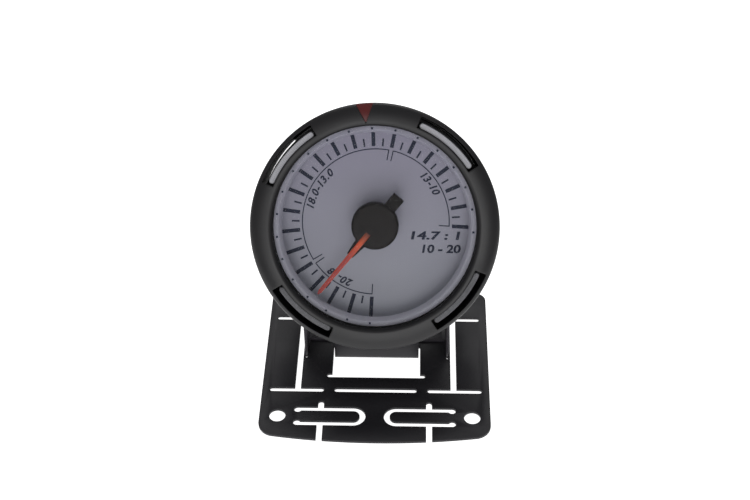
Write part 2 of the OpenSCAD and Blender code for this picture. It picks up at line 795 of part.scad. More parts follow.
module cover_screws() {
    head_h = cover_head_d / 3;
    color("silver") at_gauge() at_cover_screws() {
        translate([0, 0, -case_depth]) cylinder(d = cover_screw_d, h = 3 * cover_t);
        difference() {
            translate([0, 0, -case_depth - head_h]) cylinder(d = cover_head_d, h = head_h);
            for (a = [0, 90]) rotate([0, 0, a]) translate([0, 0, -case_depth - head_h])
                cube([cover_head_d / 2, cover_head_d / 6, head_h], center = true);
        }
    }
}

// The points of the bezel's crown, a quarter of an ellipse from the bevel to the widest line.
function crown_points() = [
    for (i = [0 : crown_steps]) let (a = 90 * i / crown_steps)
        [
            crown_start_r + (bezel_r - crown_start_r) * sin(a),
            -rim_drop + (crown_h + rim_drop) * cos(a)
        ]
];

// Half of the bezel's section: radius across, height above the opening's edge up.
module bezel_section() {
    polygon(concat(
        [
            [opening_r, -lip_t],
            [opening_r, 0]
        ],
        crown_points(),
        [
            [skirt_rear_r, -skirt_depth],
            [skirt_rear_r - skirt_t, -skirt_depth],
            [bezel_r - skirt_t, -face_t],
            [collar_out_r, -face_t],
            [collar_out_r, -skirt_depth],
            [collar_in_r, -skirt_depth],
            [collar_in_r, -lip_t]
        ]
    ));
}

// The marker's outline, with its point towards the axis and its base past the rim.
module marker_outline(base_w, past) {
    slope = base_w / 2 / (bezel_r - marker_tip_r);
    polygon([
        [0, marker_tip_r],
        [slope * (bezel_r + past - marker_tip_r), bezel_r + past],
        [-slope * (bezel_r + past - marker_tip_r), bezel_r + past]
    ]);
}

module bezel() {
    color([0.17, 0.165, 0.19]) at_gauge() rotate([0, 0, -bezel_turn]) difference() {
        rotate_extrude($fn = 180) bezel_section();
        for (i = [0 : 3]) rotate([0, 0, 45 + 90 * i - window_a / 2])
            translate([0, 0, -face_t - over])
                rotate_extrude(angle = window_a, $fn = 180) translate([window_in_r, 0])
                    square([window_out_r - window_in_r, face_t + crown_h + 2 * over]);
        translate([0, 0, -marker_depth]) linear_extrude(crown_h + marker_depth + over)
            marker_outline(marker_w, over);
    }
}

module bezel_marker() {
    top_share = (marker_t - marker_depth + rim_drop) / (crown_h + rim_drop);
    top_r = crown_start_r + (bezel_r - crown_start_r) * sqrt(1 - pow(top_share, 2));
    color([0.5, 0.12, 0.12]) at_gauge() rotate([0, 0, -bezel_turn])
        translate([0, 0, -marker_depth]) linear_extrude(marker_t) intersection() {
            marker_outline(marker_w - 2 * marker_gap, 0);
            circle(r = top_r, $fn = 360);
        }
}

// One light strip, a bar with round ends bent round the axis.
module light_strips() {
    strip_r = window_in_r + fit + strip_w / 2;
    strip_a = window_a - strip_short_a;
    color([0.85, 0.86, 0.88]) at_gauge() rotate([0, 0, -bezel_turn]) for (i = [0 : 3])
        rotate([0, 0, 45 + 90 * i - strip_a / 2]) translate([0, 0, -mouth_depth]) {
            rotate_extrude(angle = strip_a, $fn = 180) translate([strip_r - strip_w / 2, 0])
                square([strip_w, strip_t]);
            for (a = [0, strip_a]) rotate([0, 0, a]) translate([strip_r, 0, 0])
                cylinder(d = strip_w - 2 * play, h = strip_t, $fn = strip_fn);
        }
}

module lens() {
    color([0.9, 0.95, 1, 0.3]) at_gauge() translate([0, 0, -lip_t - lens_t])
        cylinder(r = lens_r, h = lens_t, $fn = 180);
}

module lens_gasket() {
    color([0.05, 0.05, 0.05]) at_gauge() gauge_ring(lens_r, gasket_in_r, lip_t + lens_t, spacer_front);
}

module spacer_ring() {
    cone_in_r = flange_in_r - cone_w;
    cone_end = spacer_front + cone_h;
    color([0.93, 0.94, 0.97]) at_gauge() rotate_extrude($fn = 128) polygon([
        [lens_r, -spacer_front],
        [flange_in_r, -spacer_front],
        [cone_in_r, -cone_end],
        [cone_in_r, -cone_end - flange_t / 2],
        [flange_in_r, -cone_end - flange_t / 2],
        [spacer_in_r, -cone_end + flange_t],
        [spacer_in_r, -dial_depth],
        [lens_r, -dial_depth]
    ]);
}

// Places its children at every mark of the scale that the list names, pointing outwards along Y.
module at_marks(list) {
    for (i = list) rotate([0, 0, -scale_start_a - i * scale_step_a]) children();
}

module spacer_marks() {
    color([0.06, 0.07, 0.13]) at_gauge() at_marks([0 : scale_n - 1])
        translate([-ring_mark_w / 2, ring_mark_r - ring_mark_w / 2, -spacer_front])
            cube([ring_mark_w, ring_mark_w, print_t]);
}

module dial() {
    color([0.93, 0.94, 0.98]) at_gauge()
        gauge_ring(mouth_in_r - fit, dial_hole_d / 2, dial_depth, dial_depth + dial_t);
}

module dial_marks() {
    color([0.06, 0.07, 0.13]) at_gauge() translate([0, 0, -dial_depth]) {
        at_marks([0 : scale_n - 1]) translate([-mark_w / 2, mark_in_r, 0])
            cube([mark_w, mark_len, print_t]);
        at_marks([0.5 : scale_n - 2]) translate([-thin_w / 2, mark_in_r, 0])
            cube([thin_w, thin_len, print_t]);
    }
}

// One zone line from one mark to another, with its two end lines.
module zone_line(from, to, gap_from, gap_to) {
    a_from = scale_start_a + from * scale_step_a + gap_from;
    a_to = scale_start_a + to * scale_step_a - gap_to;
    translate([0, 0, -dial_depth]) {
        rotate([0, 0, 90 - a_to]) rotate_extrude(angle = a_to - a_from, $fn = 180)
            translate([zone_r - zone_w / 2, 0]) square([zone_w, print_t]);
        for (a = [a_from, a_to]) rotate([0, 0, -a])
            translate([-zone_w / 2, zone_r + zone_w / 2 - zone_end_len, 0])
                cube([zone_w, zone_end_len, print_t]);
    }
}

module zone_lines() {
    gap_a = atan(zone_gap / zone_r);
    color([0.06, 0.07, 0.13]) at_gauge() {
        zone_line(0, zone_breaks[0], 0, gap_a);
        zone_line(zone_breaks[0], zone_breaks[1], gap_a, gap_a);
        zone_line(zone_breaks[1], scale_n - 1, gap_a, 0);
    }
}

module light_guide() {
    color([0.85, 0.9, 0.95, 0.6]) at_gauge()
        gauge_ring(mouth_in_r - fit, dial_hole_d / 2, dial_depth + dial_t, guide_back);
}

module reflector() {
    outer_r = reflector_bore_r - fit;
    color("white") at_gauge()
        gauge_ring(outer_r, outer_r - reflector_t, guide_back, light_board_front);
}

// Places its children on the posts, seen along the axis.
module at_posts() {
    for (i = [0 : 2]) rotate([0, 0, 90 + 120 * i]) translate([post_r, 0, 0]) children();
}

module light_board() {
    color([0.1, 0.3, 0.16]) at_gauge()
        gauge_ring(reflector_bore_r - fit, dial_hole_d / 2, light_board_front, light_board_back);
}

module lamps() {
    color([0.95, 0.93, 0.75]) at_gauge() for (i = [0 : led_n - 1]) rotate([0, 0, i * 360 / led_n])
        translate([led_r - led_w / 2, -led_l / 2, -light_board_front]) cube([led_w, led_l, led_h]);
}

module motor_housing() {
    step_h = (post_h - motor_h) / 2;
    color([0.2, 0.2, 0.22]) at_gauge() difference() {
        union() {
            translate([0, 0, -light_board_back - motor_h]) linear_extrude(motor_h) {
                circle(r = motor_r);
                translate([-motor_w / 2, -motor_len]) square([motor_w, motor_len]);
            }
            translate([0, 0, -light_board_back - motor_h - step_h])
                cylinder(d = motor_w, h = step_h);
        }
        translate([0, 0, -light_board_back - motor_h])
            cylinder(d = shaft_d + 2 * play, h = motor_h + over);
    }
}

module board_posts() {
    color("goldenrod") at_gauge() at_posts() translate([0, 0, -main_board_front]) difference() {
        cylinder(d = post_d, h = post_h, $fn = 6);
        translate([0, 0, -over]) cylinder(d = cover_screw_d, h = post_h / 2 + over);
    }
}

module board_screws() {
    head_h = cover_head_d / 4;
    color("silver") at_gauge() at_posts() {
        translate([0, 0, -main_board_back])
            cylinder(d = cover_screw_d, h = board_t + post_h / 2 - fit);
        translate([0, 0, -main_board_back - head_h]) cylinder(d = cover_head_d, h = head_h);
    }
}

module main_board() {
    color([0.1, 0.3, 0.16]) at_gauge() difference() {
        translate([0, 0, -main_board_back]) cylinder(r = main_board_r, h = board_t);
        at_posts() translate([0, 0, -main_board_back - over])
            cylinder(d = cover_screw_d, h = board_t + 2 * over);
    }
}

module board_chips() {
    chip = motor_r * 0.8;
    chip_h = board_t;
    color([0.08, 0.08, 0.08]) at_gauge() translate([0, 0, -main_board_front]) {
        translate([-chip / 2, motor_r + post_d / 2, 0]) cube([chip, chip, chip_h]);
        translate([motor_r + post_d / 2, -chip / 2, 0]) cube([chip / 2, chip, chip_h]);
    }
}

module capacitors() {
    can_d = main_board_r / 5;
    can_h = post_h * 0.7;
    color([0.15, 0.15, 0.3]) at_gauge() for (y = [-can_d, can_d])
        translate([-motor_r - can_d, y, -main_board_front]) cylinder(d = can_d, h = can_h);
}

// The open shell of one socket, with its mouth at the back.
module socket(x) {
    back = case_depth + socket_out;
    at_gauge() translate([x, socket_rise, 0]) difference() {
        translate([0, 0, -back]) linear_extrude(back - main_board_back)
            square([socket_w, socket_h], center = true);
        translate([0, 0, -back - over]) linear_extrude(back - case_depth + cover_t / 2 + over)
            square([socket_w - 2 * socket_wall, socket_h - 2 * socket_wall], center = true);
        translate([0, socket_h / 2, -back])
            cube([pin_pitch, 2 * socket_wall + over, socket_out], center = true);
    }
}

module power_socket() {
    color([0.9, 0.9, 0.86]) socket(-socket_x);
}

module sensor_socket() {
    color([0.12, 0.12, 0.13]) socket(socket_x);
}

module socket_pins() {
    floor_depth = case_depth - cover_t / 2;
    color("gold") at_gauge() for (x = [-socket_x, socket_x], i = [0 : pin_n - 1])
        translate([x + (i - (pin_n - 1) / 2) * pin_pitch - pin_w / 2, socket_rise - pin_w / 2,
            -case_depth - socket_out + socket_wall])
            cube([pin_w, pin_w, case_depth + socket_out - socket_wall - floor_depth]);
}

// Turns its children from the top of the dial to the pointer's resting angle.
module at_pointer() {
    at_gauge() rotate([0, 0, -pointer_a]) children();
}

module pointer_cap() {
    cap_back = cap_depth + cap_t;
    groove_floor = cap_depth + needle_sink + needle_t;
    boss_back = dial_depth - cap_bevel;
    color([0.09, 0.09, 0.1]) at_pointer() difference() {
        union() {
            translate([0, 0, -cap_back]) cylinder(d = cap_d, h = cap_t - cap_bevel);
            translate([0, 0, -cap_depth - cap_bevel])
                cylinder(d1 = cap_d, d2 = cap_d - 2 * cap_bevel, h = cap_bevel);
            translate([-tail_w / 2, -tail_len, -cap_back]) cube([tail_w, tail_len, tail_t]);
            translate([0, 0, -groove_floor - neck_t]) linear_extrude(neck_t)
                polygon([
                    [-neck_w / 2, 0],
                    [neck_w / 2, 0],
                    [neck_end_w / 2, neck_len],
                    [-neck_end_w / 2, neck_len]
                ]);
            translate([0, 0, -boss_back]) cylinder(d = boss_d, h = boss_back - cap_depth - cap_bevel);
        }
        translate([-needle_w / 2 - play, needle_start, -groove_floor])
            cube([needle_w + 2 * play, cap_d, groove_floor]);
        translate([0, 0, -dial_depth])
            cylinder(d = shaft_d, h = dial_depth - cap_back + cap_t / 2);
    }
}

module pointer_needle() {
    color([0.85, 0.22, 0.18, 0.85]) at_pointer()
        translate([0, 0, -cap_depth - needle_sink - needle_t]) linear_extrude(needle_t)
            polygon([
                [-needle_w / 2, needle_start],
                [needle_w / 2, needle_start],
                [needle_tip_w / 2, needle_len - needle_tip_w / 2],
                [needle_tip_w / 4, needle_len],
                [-needle_tip_w / 4, needle_len],
                [-needle_tip_w / 2, needle_len - needle_tip_w / 2]
            ]);
}

module motor_shaft() {
    top = cap_depth + cap_t / 2;
    bottom = light_board_back + motor_h - fit;
    color("silver") at_gauge() translate([0, 0, -bottom]) cylinder(d = shaft_d, h = bottom - top);
}

base_plate();
cradle();
cradle_rivets();
pivot_screws();
friction_washers();
pivot_nuts();
yoke();
mounting_studs();
stud_washers();
stud_nuts();
case();
rear_cover();
cover_screws();
bezel();
bezel_marker();
light_strips();
lens();
lens_gasket();
spacer_ring();
spacer_marks();
dial();
dial_marks();
zone_lines();
light_guide();
reflector();
light_board();
lamps();
motor_housing();
board_posts();
board_screws();
main_board();
board_chips();
capacitors();
power_socket();
sensor_socket();
socket_pins();
pointer_cap();
pointer_needle();
motor_shaft();
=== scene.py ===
"""The looks of a round air and fuel ratio gauge that tilts on a slotted sheet steel bracket."""

import json
import logging
import math
from dataclasses import dataclass
from enum import Enum
from typing import Iterable, Sequence

import bmesh
import bpy
from bmesh.types import BMEdge, BMVert, BMesh
from bpy.types import ID, Material, Mesh, Node, NodeSocket, NodeTree, Object
from mathutils import Matrix, Vector


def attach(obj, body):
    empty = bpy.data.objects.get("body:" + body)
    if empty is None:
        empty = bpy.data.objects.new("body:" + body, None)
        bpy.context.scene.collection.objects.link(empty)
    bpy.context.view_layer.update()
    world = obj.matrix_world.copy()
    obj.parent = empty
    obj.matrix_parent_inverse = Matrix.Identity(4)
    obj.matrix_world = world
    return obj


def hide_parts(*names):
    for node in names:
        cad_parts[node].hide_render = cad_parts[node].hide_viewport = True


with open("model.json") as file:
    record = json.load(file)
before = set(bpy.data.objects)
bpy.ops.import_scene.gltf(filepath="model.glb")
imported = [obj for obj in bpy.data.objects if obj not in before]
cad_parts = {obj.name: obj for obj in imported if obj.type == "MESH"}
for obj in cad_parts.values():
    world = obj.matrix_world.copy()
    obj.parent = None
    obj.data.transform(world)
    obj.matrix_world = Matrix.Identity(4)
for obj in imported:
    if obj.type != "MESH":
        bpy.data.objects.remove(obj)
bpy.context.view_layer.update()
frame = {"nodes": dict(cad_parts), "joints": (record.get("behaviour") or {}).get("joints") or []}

LOG = logging.getLogger("gauge")
MM = 0.001
IMAGE_WIDTH = 750
SENSOR_WIDTH = 36.0
# The middle of the gauge's face in the part's frame, and the dial's height in the gauge's.
FACE_CENTRE = (0.0, 0.019, 0.0524)
DIAL_Z = -11.0 * MM
MERGE_DISTANCE = MM / 1000
FLAT_DEG = 0.5
SHARP_DEG = 30.0
ROUND_SHADE_DEG = 50.0
CLOUD_DETAIL = 4.0
SLOPE_DETAIL = 3.0
SMUDGE_DETAIL = 6.0
SMUDGE_SCALE = 0.7
SMUDGE_RANGE = (0.3, 0.7)
RELIEF_DETAIL = 2.0
BRUSH_STRETCH = (0.06, 1.0, 1.0)
BUMP_STRENGTH = 0.6
WHITE = (1.0, 1.0, 1.0, 1.0)
Point = tuple[float, float]
Colour = tuple[float, float, float]


class Relief(Enum):
    """The kinds of fine relief that a finish can have."""

    NONE = "none"
    ORANGE_PEEL = "orange_peel"
    SPARK_GRAIN = "spark_grain"
    BRUSHED = "brushed"
    FROSTED_DOTS = "frosted_dots"


class Body(Enum):
    """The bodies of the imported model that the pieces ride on."""

    BRACKET = "bracket"
    GAUGE = "gauge"
    POINTER = "pointer"


@dataclass
class NodeBuilder:
    """Adds nodes to the node tree of a material or of a geometry modifier, and links them."""

    tree: NodeTree

    def add(self, kind: str, inputs: dict | None = None, **settings) -> Node:
        """Adds one node.

        Args:
            kind: The node's type name.
            inputs: Socket name or number to its value, or to the output socket that feeds it.
            **settings: The node's own properties.

        Returns:
            The new node.
        """
        node = self.tree.nodes.new(kind)
        for name, value in settings.items():
            setattr(node, name, value)
        for name, value in (inputs or {}).items():
            if isinstance(value, NodeSocket):
                self.tree.links.new(value, node.inputs[name])
            else:
                node.inputs[name].default_value = value
        return node

    def calculate(self, operation: str, *values) -> NodeSocket:
        """Adds a calculation with two values, each a number or an output, and returns its result."""
        return self.add("ShaderNodeMath", dict(enumerate(values)), operation=operation).outputs[0]


class Surface(NodeBuilder):
    """A material's nodes, with its shader and the object coordinates, while a finish links them."""

    def __init__(self, material: Material) -> None:
        """Finds the shader and adds the object coordinates.

        Args:
            material: The material.
        """
        super().__init__(material.node_tree)
        self.shader = self.tree.nodes["Principled BSDF"]
        self.place = self.add("ShaderNodeTexCoord").outputs["Object"]

    def noise(self, place: NodeSocket, scale: float, detail: float) -> NodeSocket:
        """Adds noise of a scale and a detail, and returns its level."""
        node = self.add("ShaderNodeTexNoise", {"Vector": place, "Scale": scale, "Detail": detail})
        return node.outputs["Fac"]

    def feed(self, name: str, output: NodeSocket) -> None:
        """Links an output to the shader's input of that name."""
        self.tree.links.new(output, self.shader.inputs[name])


def new_material(name: str, settings: dict) -> Material:
    """Makes a material.

    Args:
        name: The material's name.
        settings: The shader's inputs and their values.

    Returns:
        The material.
    """
    material = bpy.data.materials.new(name)
    material.use_nodes = True
    shader = material.node_tree.nodes["Principled BSDF"]
    for key, value in settings.items():
        shader.inputs[key].default_value = value
    return material


@dataclass(frozen=True)
class Finish:
    """A surface finish: a colour that varies a little, uneven gloss and a fine relief."""

    name: str
    colour: Colour
    roughness: float
    metallic: float = 0.0
    specular: float = 0.5
    variation: float = 0.12
    patch_mm: float = 7.0
    rough_spread: float = 0.06
    relief: Relief = Relief.ORANGE_PEEL
    relief_mm: float = 0.35
    relief_depth_mm: float = 0.004
    alpha: float = 1.0

    def build(self) -> Material:
        """Makes the procedural material.

        Returns:
            The finished material.
        """
        material = new_material(self.name, {
            "Metallic": self.metallic,
            "Specular IOR Level": self.specular,
            "Alpha": self.alpha,
        })
        surface = Surface(material)
        self.link_colour(surface)
        self.link_roughness(surface)
        self.link_relief(surface)
        return material

    def link_colour(self, surface: Surface) -> None:
        """Feeds the shader's colour from soft clouds between a darker and a lighter tone.

        Args:
            surface: The material's nodes.
        """
        cloud = surface.noise(surface.place, 1 / (self.patch_mm * MM), CLOUD_DETAIL)
        dark = tuple(c * (1 - self.variation) for c in self.colour) + (1.0,)
        light = tuple(min(1.0, c * (1 + self.variation)) for c in self.colour) + (1.0,)
        mix = surface.add("ShaderNodeMix", {"Factor": cloud, 6: dark, 7: light}, data_type="RGBA")
        surface.feed("Base Color", mix.outputs[2])

    def link_roughness(self, surface: Surface) -> None:
        """Feeds the shader's roughness from smudges.

        Args:
            surface: The material's nodes.
        """
        smudge = surface.noise(surface.place, SMUDGE_SCALE / (self.patch_mm * MM), SMUDGE_DETAIL)
        spread = surface.add("ShaderNodeMapRange", {
            "Value": smudge,
            "From Min": SMUDGE_RANGE[0],
            "From Max": SMUDGE_RANGE[1],
            "To Min": max(0.0, self.roughness - self.rough_spread),
            "To Max": min(1.0, self.roughness + self.rough_spread),
        })
        surface.feed("Roughness", spread.outputs["Result"])

    def link_relief(self, surface: Surface) -> None:
        """Feeds the shader's normal from the finish's fine relief.

        Args:
            surface: The material's nodes.
        """
        if self.relief is Relief.NONE:
            return
        scale = 1 / (self.relief_mm * MM)
        if self.relief is Relief.BRUSHED:
            brushed = surface.add("ShaderNodeMapping", {"Vector": surface.place, "Scale": BRUSH_STRETCH})
            height = surface.noise(brushed.outputs["Vector"], scale, RELIEF_DETAIL)
        elif self.relief in (Relief.SPARK_GRAIN, Relief.FROSTED_DOTS):
            cells = surface.add("ShaderNodeTexVoronoi", {"Vector": surface.place, "Scale": scale})
            height = cells.outputs["Distance"]
        else:
            height = surface.noise(surface.place, scale, RELIEF_DETAIL)
        values = {"Height": height, "Strength": BUMP_STRENGTH, "Distance": self.relief_depth_mm * MM}
        bump = surface.add("ShaderNodeBump", values)
        surface.feed("Normal", bump.outputs["Normal"])


@dataclass(frozen=True)
class PaintedLightSlopeFinish(Finish):
    """A finish with painted light and shade: its colour changes softly from the bottom of a piece to its
    top.
    """

    # The colour at the top; its difference from the bottom colour is painted light and shade.
    top_colour: Colour = (0.28, 0.265, 0.35)
    centre: tuple[float, float, float] = FACE_CENTRE
    half_height: float = 0.024

    def link_colour(self, surface: Surface) -> None:
        """Feeds the colour from a slope of painted light and shade up the piece and very soft clouds.

        Args:
            surface: The material's nodes.
        """
        shift = tuple(-c for c in self.centre)
        centred = surface.add("ShaderNodeMapping", {"Vector": surface.place, "Location": shift})
        parts = surface.add("ShaderNodeSeparateXYZ", {"Vector": centred.outputs["Vector"]})
        # Painted light and shade: the colour follows the height on the piece.
        slope = surface.add("ShaderNodeMapRange", {
            "Value": parts.outputs["Z"],
            "From Min": -self.half_height,
            "From Max": self.half_height,
        })
        cloud = surface.noise(surface.place, 1 / (self.patch_mm * MM), SLOPE_DETAIL)
        wander = surface.calculate("MULTIPLY", cloud, self.variation)
        level = surface.calculate("ADD", slope.outputs["Result"], wander)
        ramp = surface.add("ShaderNodeValToRGB", {"Fac": level})
        ramp.color_ramp.elements[0].color = self.colour + (1.0,)
        ramp.color_ramp.elements[1].color = self.top_colour + (1.0,)
        surface.feed("Base Color", ramp.outputs["Color"])


@dataclass(frozen=True)
class NeedleRed(Finish):
    """The needle's red acrylic: dark over the cap, then a painted orange glow, a painted orange
    highlight along its edges, and a faint painted glow from emission though the needle is no lamp.
    """

    base_colour: Colour = (0.09, 0.02, 0.01)
    root_glow_colour: Colour = (0.5, 0.07, 0.015)
    edge_glow_colour: Colour = (0.42, 0.05, 0.02)
    glow: float = 0.05
    root_share: float = 0.16
    plain_share: float = 0.4
    edge_share: float = 0.2
    edge_power: float = 2.0

    def link_colour(self, surface: Surface) -> None:
        """Feeds the colour from the attributes along and across the needle.

        Args:
            surface: The material's nodes.
        """
        along, across = (surface.add("ShaderNodeAttribute", attribute_name=name).outputs["Fac"]
                         for name in ("along", "across"))
        root = surface.add("ShaderNodeValToRGB", {"Fac": along})
        stops = root.color_ramp.elements
        stops[0].color = self.base_colour + (1.0,)
        stops[1].position = self.plain_share
        stops[1].color = self.colour + (1.0,)
        stops.new(self.root_share).color = self.root_glow_colour + (1.0,)
        reach = surface.add("ShaderNodeMapRange", {"Value": along, "From Max": self.edge_share})
        edge = surface.calculate("POWER", across, self.edge_power)
        shown = surface.calculate("MULTIPLY", edge, reach.outputs["Result"])
        colours = {"Factor": shown, 6: root.outputs["Color"], 7: self.edge_glow_colour + (1.0,)}
        mix = surface.add("ShaderNodeMix", colours, data_type="RGBA")
        surface.feed("Base Color", mix.outputs[2])
        # Painted glow: the same colours are also emitted, though the needle is no lamp.
        surface.feed("Emission Color", mix.outputs[2])
        surface.shader.inputs["Emission Strength"].default_value = self.glow


@dataclass
class GaugeFrame:
    """The gauge's own frame: origin in the dial opening, Z towards the viewer and Y up the dial."""

    matrix: Matrix

    @classmethod
    def from_joints(cls, joints: Sequence[dict]) -> "GaugeFrame":
        """Finds the frame from the pointer's joint.

        Args:
            joints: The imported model's joints.

        Returns:
            The gauge's frame.
        """
        joint = next(j for j in joints if j["name"] == "pointer_turn")
        towards = -Vector(joint["axis"]).normalized()
        right = Vector((1.0, 0.0, 0.0))
        up = towards.cross(right)
        turn = Matrix((right, up, towards)).transposed().to_4x4()
        return cls(Matrix.Translation(Vector(joint["pos_m"])) @ turn)

    def place(self, mesh: Mesh) -> Mesh:
        """Moves a mesh from the gauge's frame to the part's frame."""
        mesh.transform(self.matrix)
        return mesh


class Workshop:
    """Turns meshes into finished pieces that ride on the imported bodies."""

    def __init__(self) -> None:
        """Starts with no finishes built."""
        self.materials: dict[str, Material] = {}

    def material(self, finish: Finish) -> Material:
        """Looks up the material of a finish, and builds it the first time.

        Args:
            finish: The finish.

        Returns:
            The material.
        """
        if finish.name not in self.materials:
            self.materials[finish.name] = finish.build()
        return self.materials[finish.name]

    def dress(self, node: str, finish: Finish) -> None:
        """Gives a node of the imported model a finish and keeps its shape.

        Args:
            node: The node's name.
            finish: Its finish.
        """
        mesh = frame["nodes"][node].data
        mesh.materials.clear()
        mesh.materials.append(self.material(finish))
        LOG.info("%s keeps its shape, in %s", node, finish.name)

    def piece(self, name: str, mesh: Mesh, finish: Finish, body: Body,
              stands_for: Iterable[str] = (), shade_deg: float = 35.0) -> None:
        """Makes an object of a mesh that is already in its place.

        Args:
            name: The piece's name.
            mesh: Its mesh, in the part's frame.
            finish: Its finish.
            body: The body that it rides on.
            stands_for: The nodes that it replaces.
            shade_deg: The largest angle between faces that shade as one.
        """
        if not mesh.materials:
            mesh.materials.append(self.material(finish))
        mesh.shade_smooth()
        mesh.set_sharp_from_angle(angle=math.radians(shade_deg))
        thing = link_new(name, mesh)
        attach(thing, body.value)
        if stands_for:
            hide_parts(*stands_for)
        LOG.info("%s has %d faces, in %s", name, len(mesh.polygons), finish.name)

    def soften(self, node: str, finish: Finish, body: Body, width_mm: float,
               segments: int = 2) -> None:
        """Replaces a node by a copy whose sharp edges are rounded off.

        Args:
            node: The node's name.
            finish: The copy's finish.
            body: The body that it rides on.
            width_mm: How wide the rounding is.
            segments: How many faces the rounding has across.
        """
        solid = bmesh.new()
        solid.from_mesh(frame["nodes"][node].data)
        bmesh.ops.remove_doubles(solid, verts=solid.verts, dist=MERGE_DISTANCE)
        bmesh.ops.dissolve_limit(solid, angle_limit=math.radians(FLAT_DEG), verts=solid.verts,
                                 edges=solid.edges, delimit={"NORMAL"})
        solid.normal_update()
        round_edges(solid, sharp_edges(solid, SHARP_DEG), width_mm * MM, segments)
        mesh = bpy.data.meshes.new(f"{node}_soft")
        solid.to_mesh(mesh)
        solid.free()
        stored = mesh.attributes.get("custom_normal")
        if stored is not None:
            mesh.attributes.remove(stored)
        self.piece(f"{node}_soft", mesh, finish, body, [node])


def link_new(name: str, data: ID) -> Object:
    """Makes an object and puts it in the scene.

    Args:
        name: The object's name.
        data: Its mesh, curve, camera or light.

    Returns:
        The object.
    """
    thing = bpy.data.objects.new(name, data)
    bpy.context.scene.collection.objects.link(thing)
    return thing


def bake(thing: Object) -> Mesh:
    """Turns an object with its modifiers into a plain mesh and removes the object.

    Args:
        thing: The object.

    Returns:
        The mesh.
    """
    ready = bpy.context.evaluated_depsgraph_get()
    mesh = bpy.data.meshes.new_from_object(thing.evaluated_get(ready), depsgraph=ready)
    bpy.data.objects.remove(thing)
    return mesh


def sharp_edges(solid: BMesh, limit_deg: float) -> list[BMEdge]:
    """Returns the edges where two faces meet at more than an angle."""
    limit = math.radians(limit_deg)
    return [e for e in solid.edges if len(e.link_faces) == 2 and e.calc_face_angle(0.0) > limit]


def round_edges(solid: BMesh, edges: Sequence[BMEdge], width: float, segments: int) -> None:
    """Rounds off some edges to a width in metres, with a number of faces across."""
    bmesh.ops.bevel(solid, geom=edges, offset=width, offset_type="OFFSET", segments=segments,
                    profile=0.5, affect="EDGES", clamp_overlap=True)


def mesh_from(solid: BMesh, name: str) -> Mesh:
    """Turns a solid under construction into a mesh and frees it.

    Args:
        solid: The solid.
        name: The mesh's name.

    Returns:
        The mesh, with its faces pointing outwards.
    """
    bmesh.ops.remove_doubles(solid, verts=solid.verts, dist=MERGE_DISTANCE)
    bmesh.ops.recalc_face_normals(solid, faces=solid.faces)
    mesh = bpy.data.meshes.new(name)
    solid.to_mesh(mesh)
    solid.free()
    return mesh


def subtract(body: Mesh, cutter: Mesh) -> Mesh:
    """Cuts one mesh out of another.

    Args:
        body: The mesh that is kept.
        cutter: The closed mesh that is taken away.

    Returns:
        The cut mesh.
    """
    kept, tool = link_new("kept", body), link_new("tool", cutter)
    cut = kept.modifiers.new("cut", "BOOLEAN")
    cut.operation = "DIFFERENCE"
    cut.solver = "EXACT"
    cut.object = tool
    mesh = bake(kept)
    bpy.data.objects.remove(tool)
    return mesh


def arc(radius: float, start_deg: float, end_deg: float, steps: int,
        centre: Point = (0.0, 0.0)) -> list[Point]:
    """Returns points along an arc from one angle to another, both ends included."""
    angles = [math.radians(start_deg + (end_deg - start_deg) * i / steps) for i in range(steps + 1)]
    return [(centre[0] + radius * math.cos(a), centre[1] + radius * math.sin(a)) for a in angles]


def skin(solid: BMesh, rows: Sequence[Sequence[BMVert]]) -> None:
    """Joins rows of points by faces and closes both ends.

    Args:
        solid: The solid that the faces go into.
        rows: The rows, each with its points in the same order.
    """
    count = len(rows[0])
    for before, after in zip(rows, rows[1:]):
        for j in range(count):
            k = (j + 1) % count
            solid.faces.new((before[j], before[k], after[k], after[j]))
    solid.faces.new(rows[0])
    solid.faces.new(rows[-1])


def raise_outline(solid: BMesh, outline: Sequence[Point], floor: float, height: float) -> list[BMVert]:
    """Raises an outline to a closed solid.

    Args:
        solid: The solid that the faces go into.
        outline: The outline's points.
        floor: The height that it starts from.
        height: How far it is raised.

    Returns:
        The upper points.
    """
    face = solid.faces.new([solid.verts.new((x, y, floor)) for x, y in outline])
    grown = bmesh.ops.extrude_face_region(solid, geom=[face])
    risen = [v for v in grown["geom"] if isinstance(v, BMVert)]
    bmesh.ops.translate(solid, verts=risen, vec=(0, 0, height))
    return risen


def block(solid: BMesh, low: Sequence[float], high: Sequence[float]) -> None:
    """Adds a rectangular block between two corners.

    Args:
        solid: The solid that the faces go into.
        low: The lowest corner, in metres.
        high: The highest corner, in metres.
    """
    size = [h - l for l, h in zip(low, high)]
    middle = [(h + l) / 2 for l, h in zip(low, high)]
    matrix = Matrix.Translation(middle) @ Matrix.Diagonal((*size, 1.0))
    bmesh.ops.create_cube(solid, size=1.0, matrix=matrix)


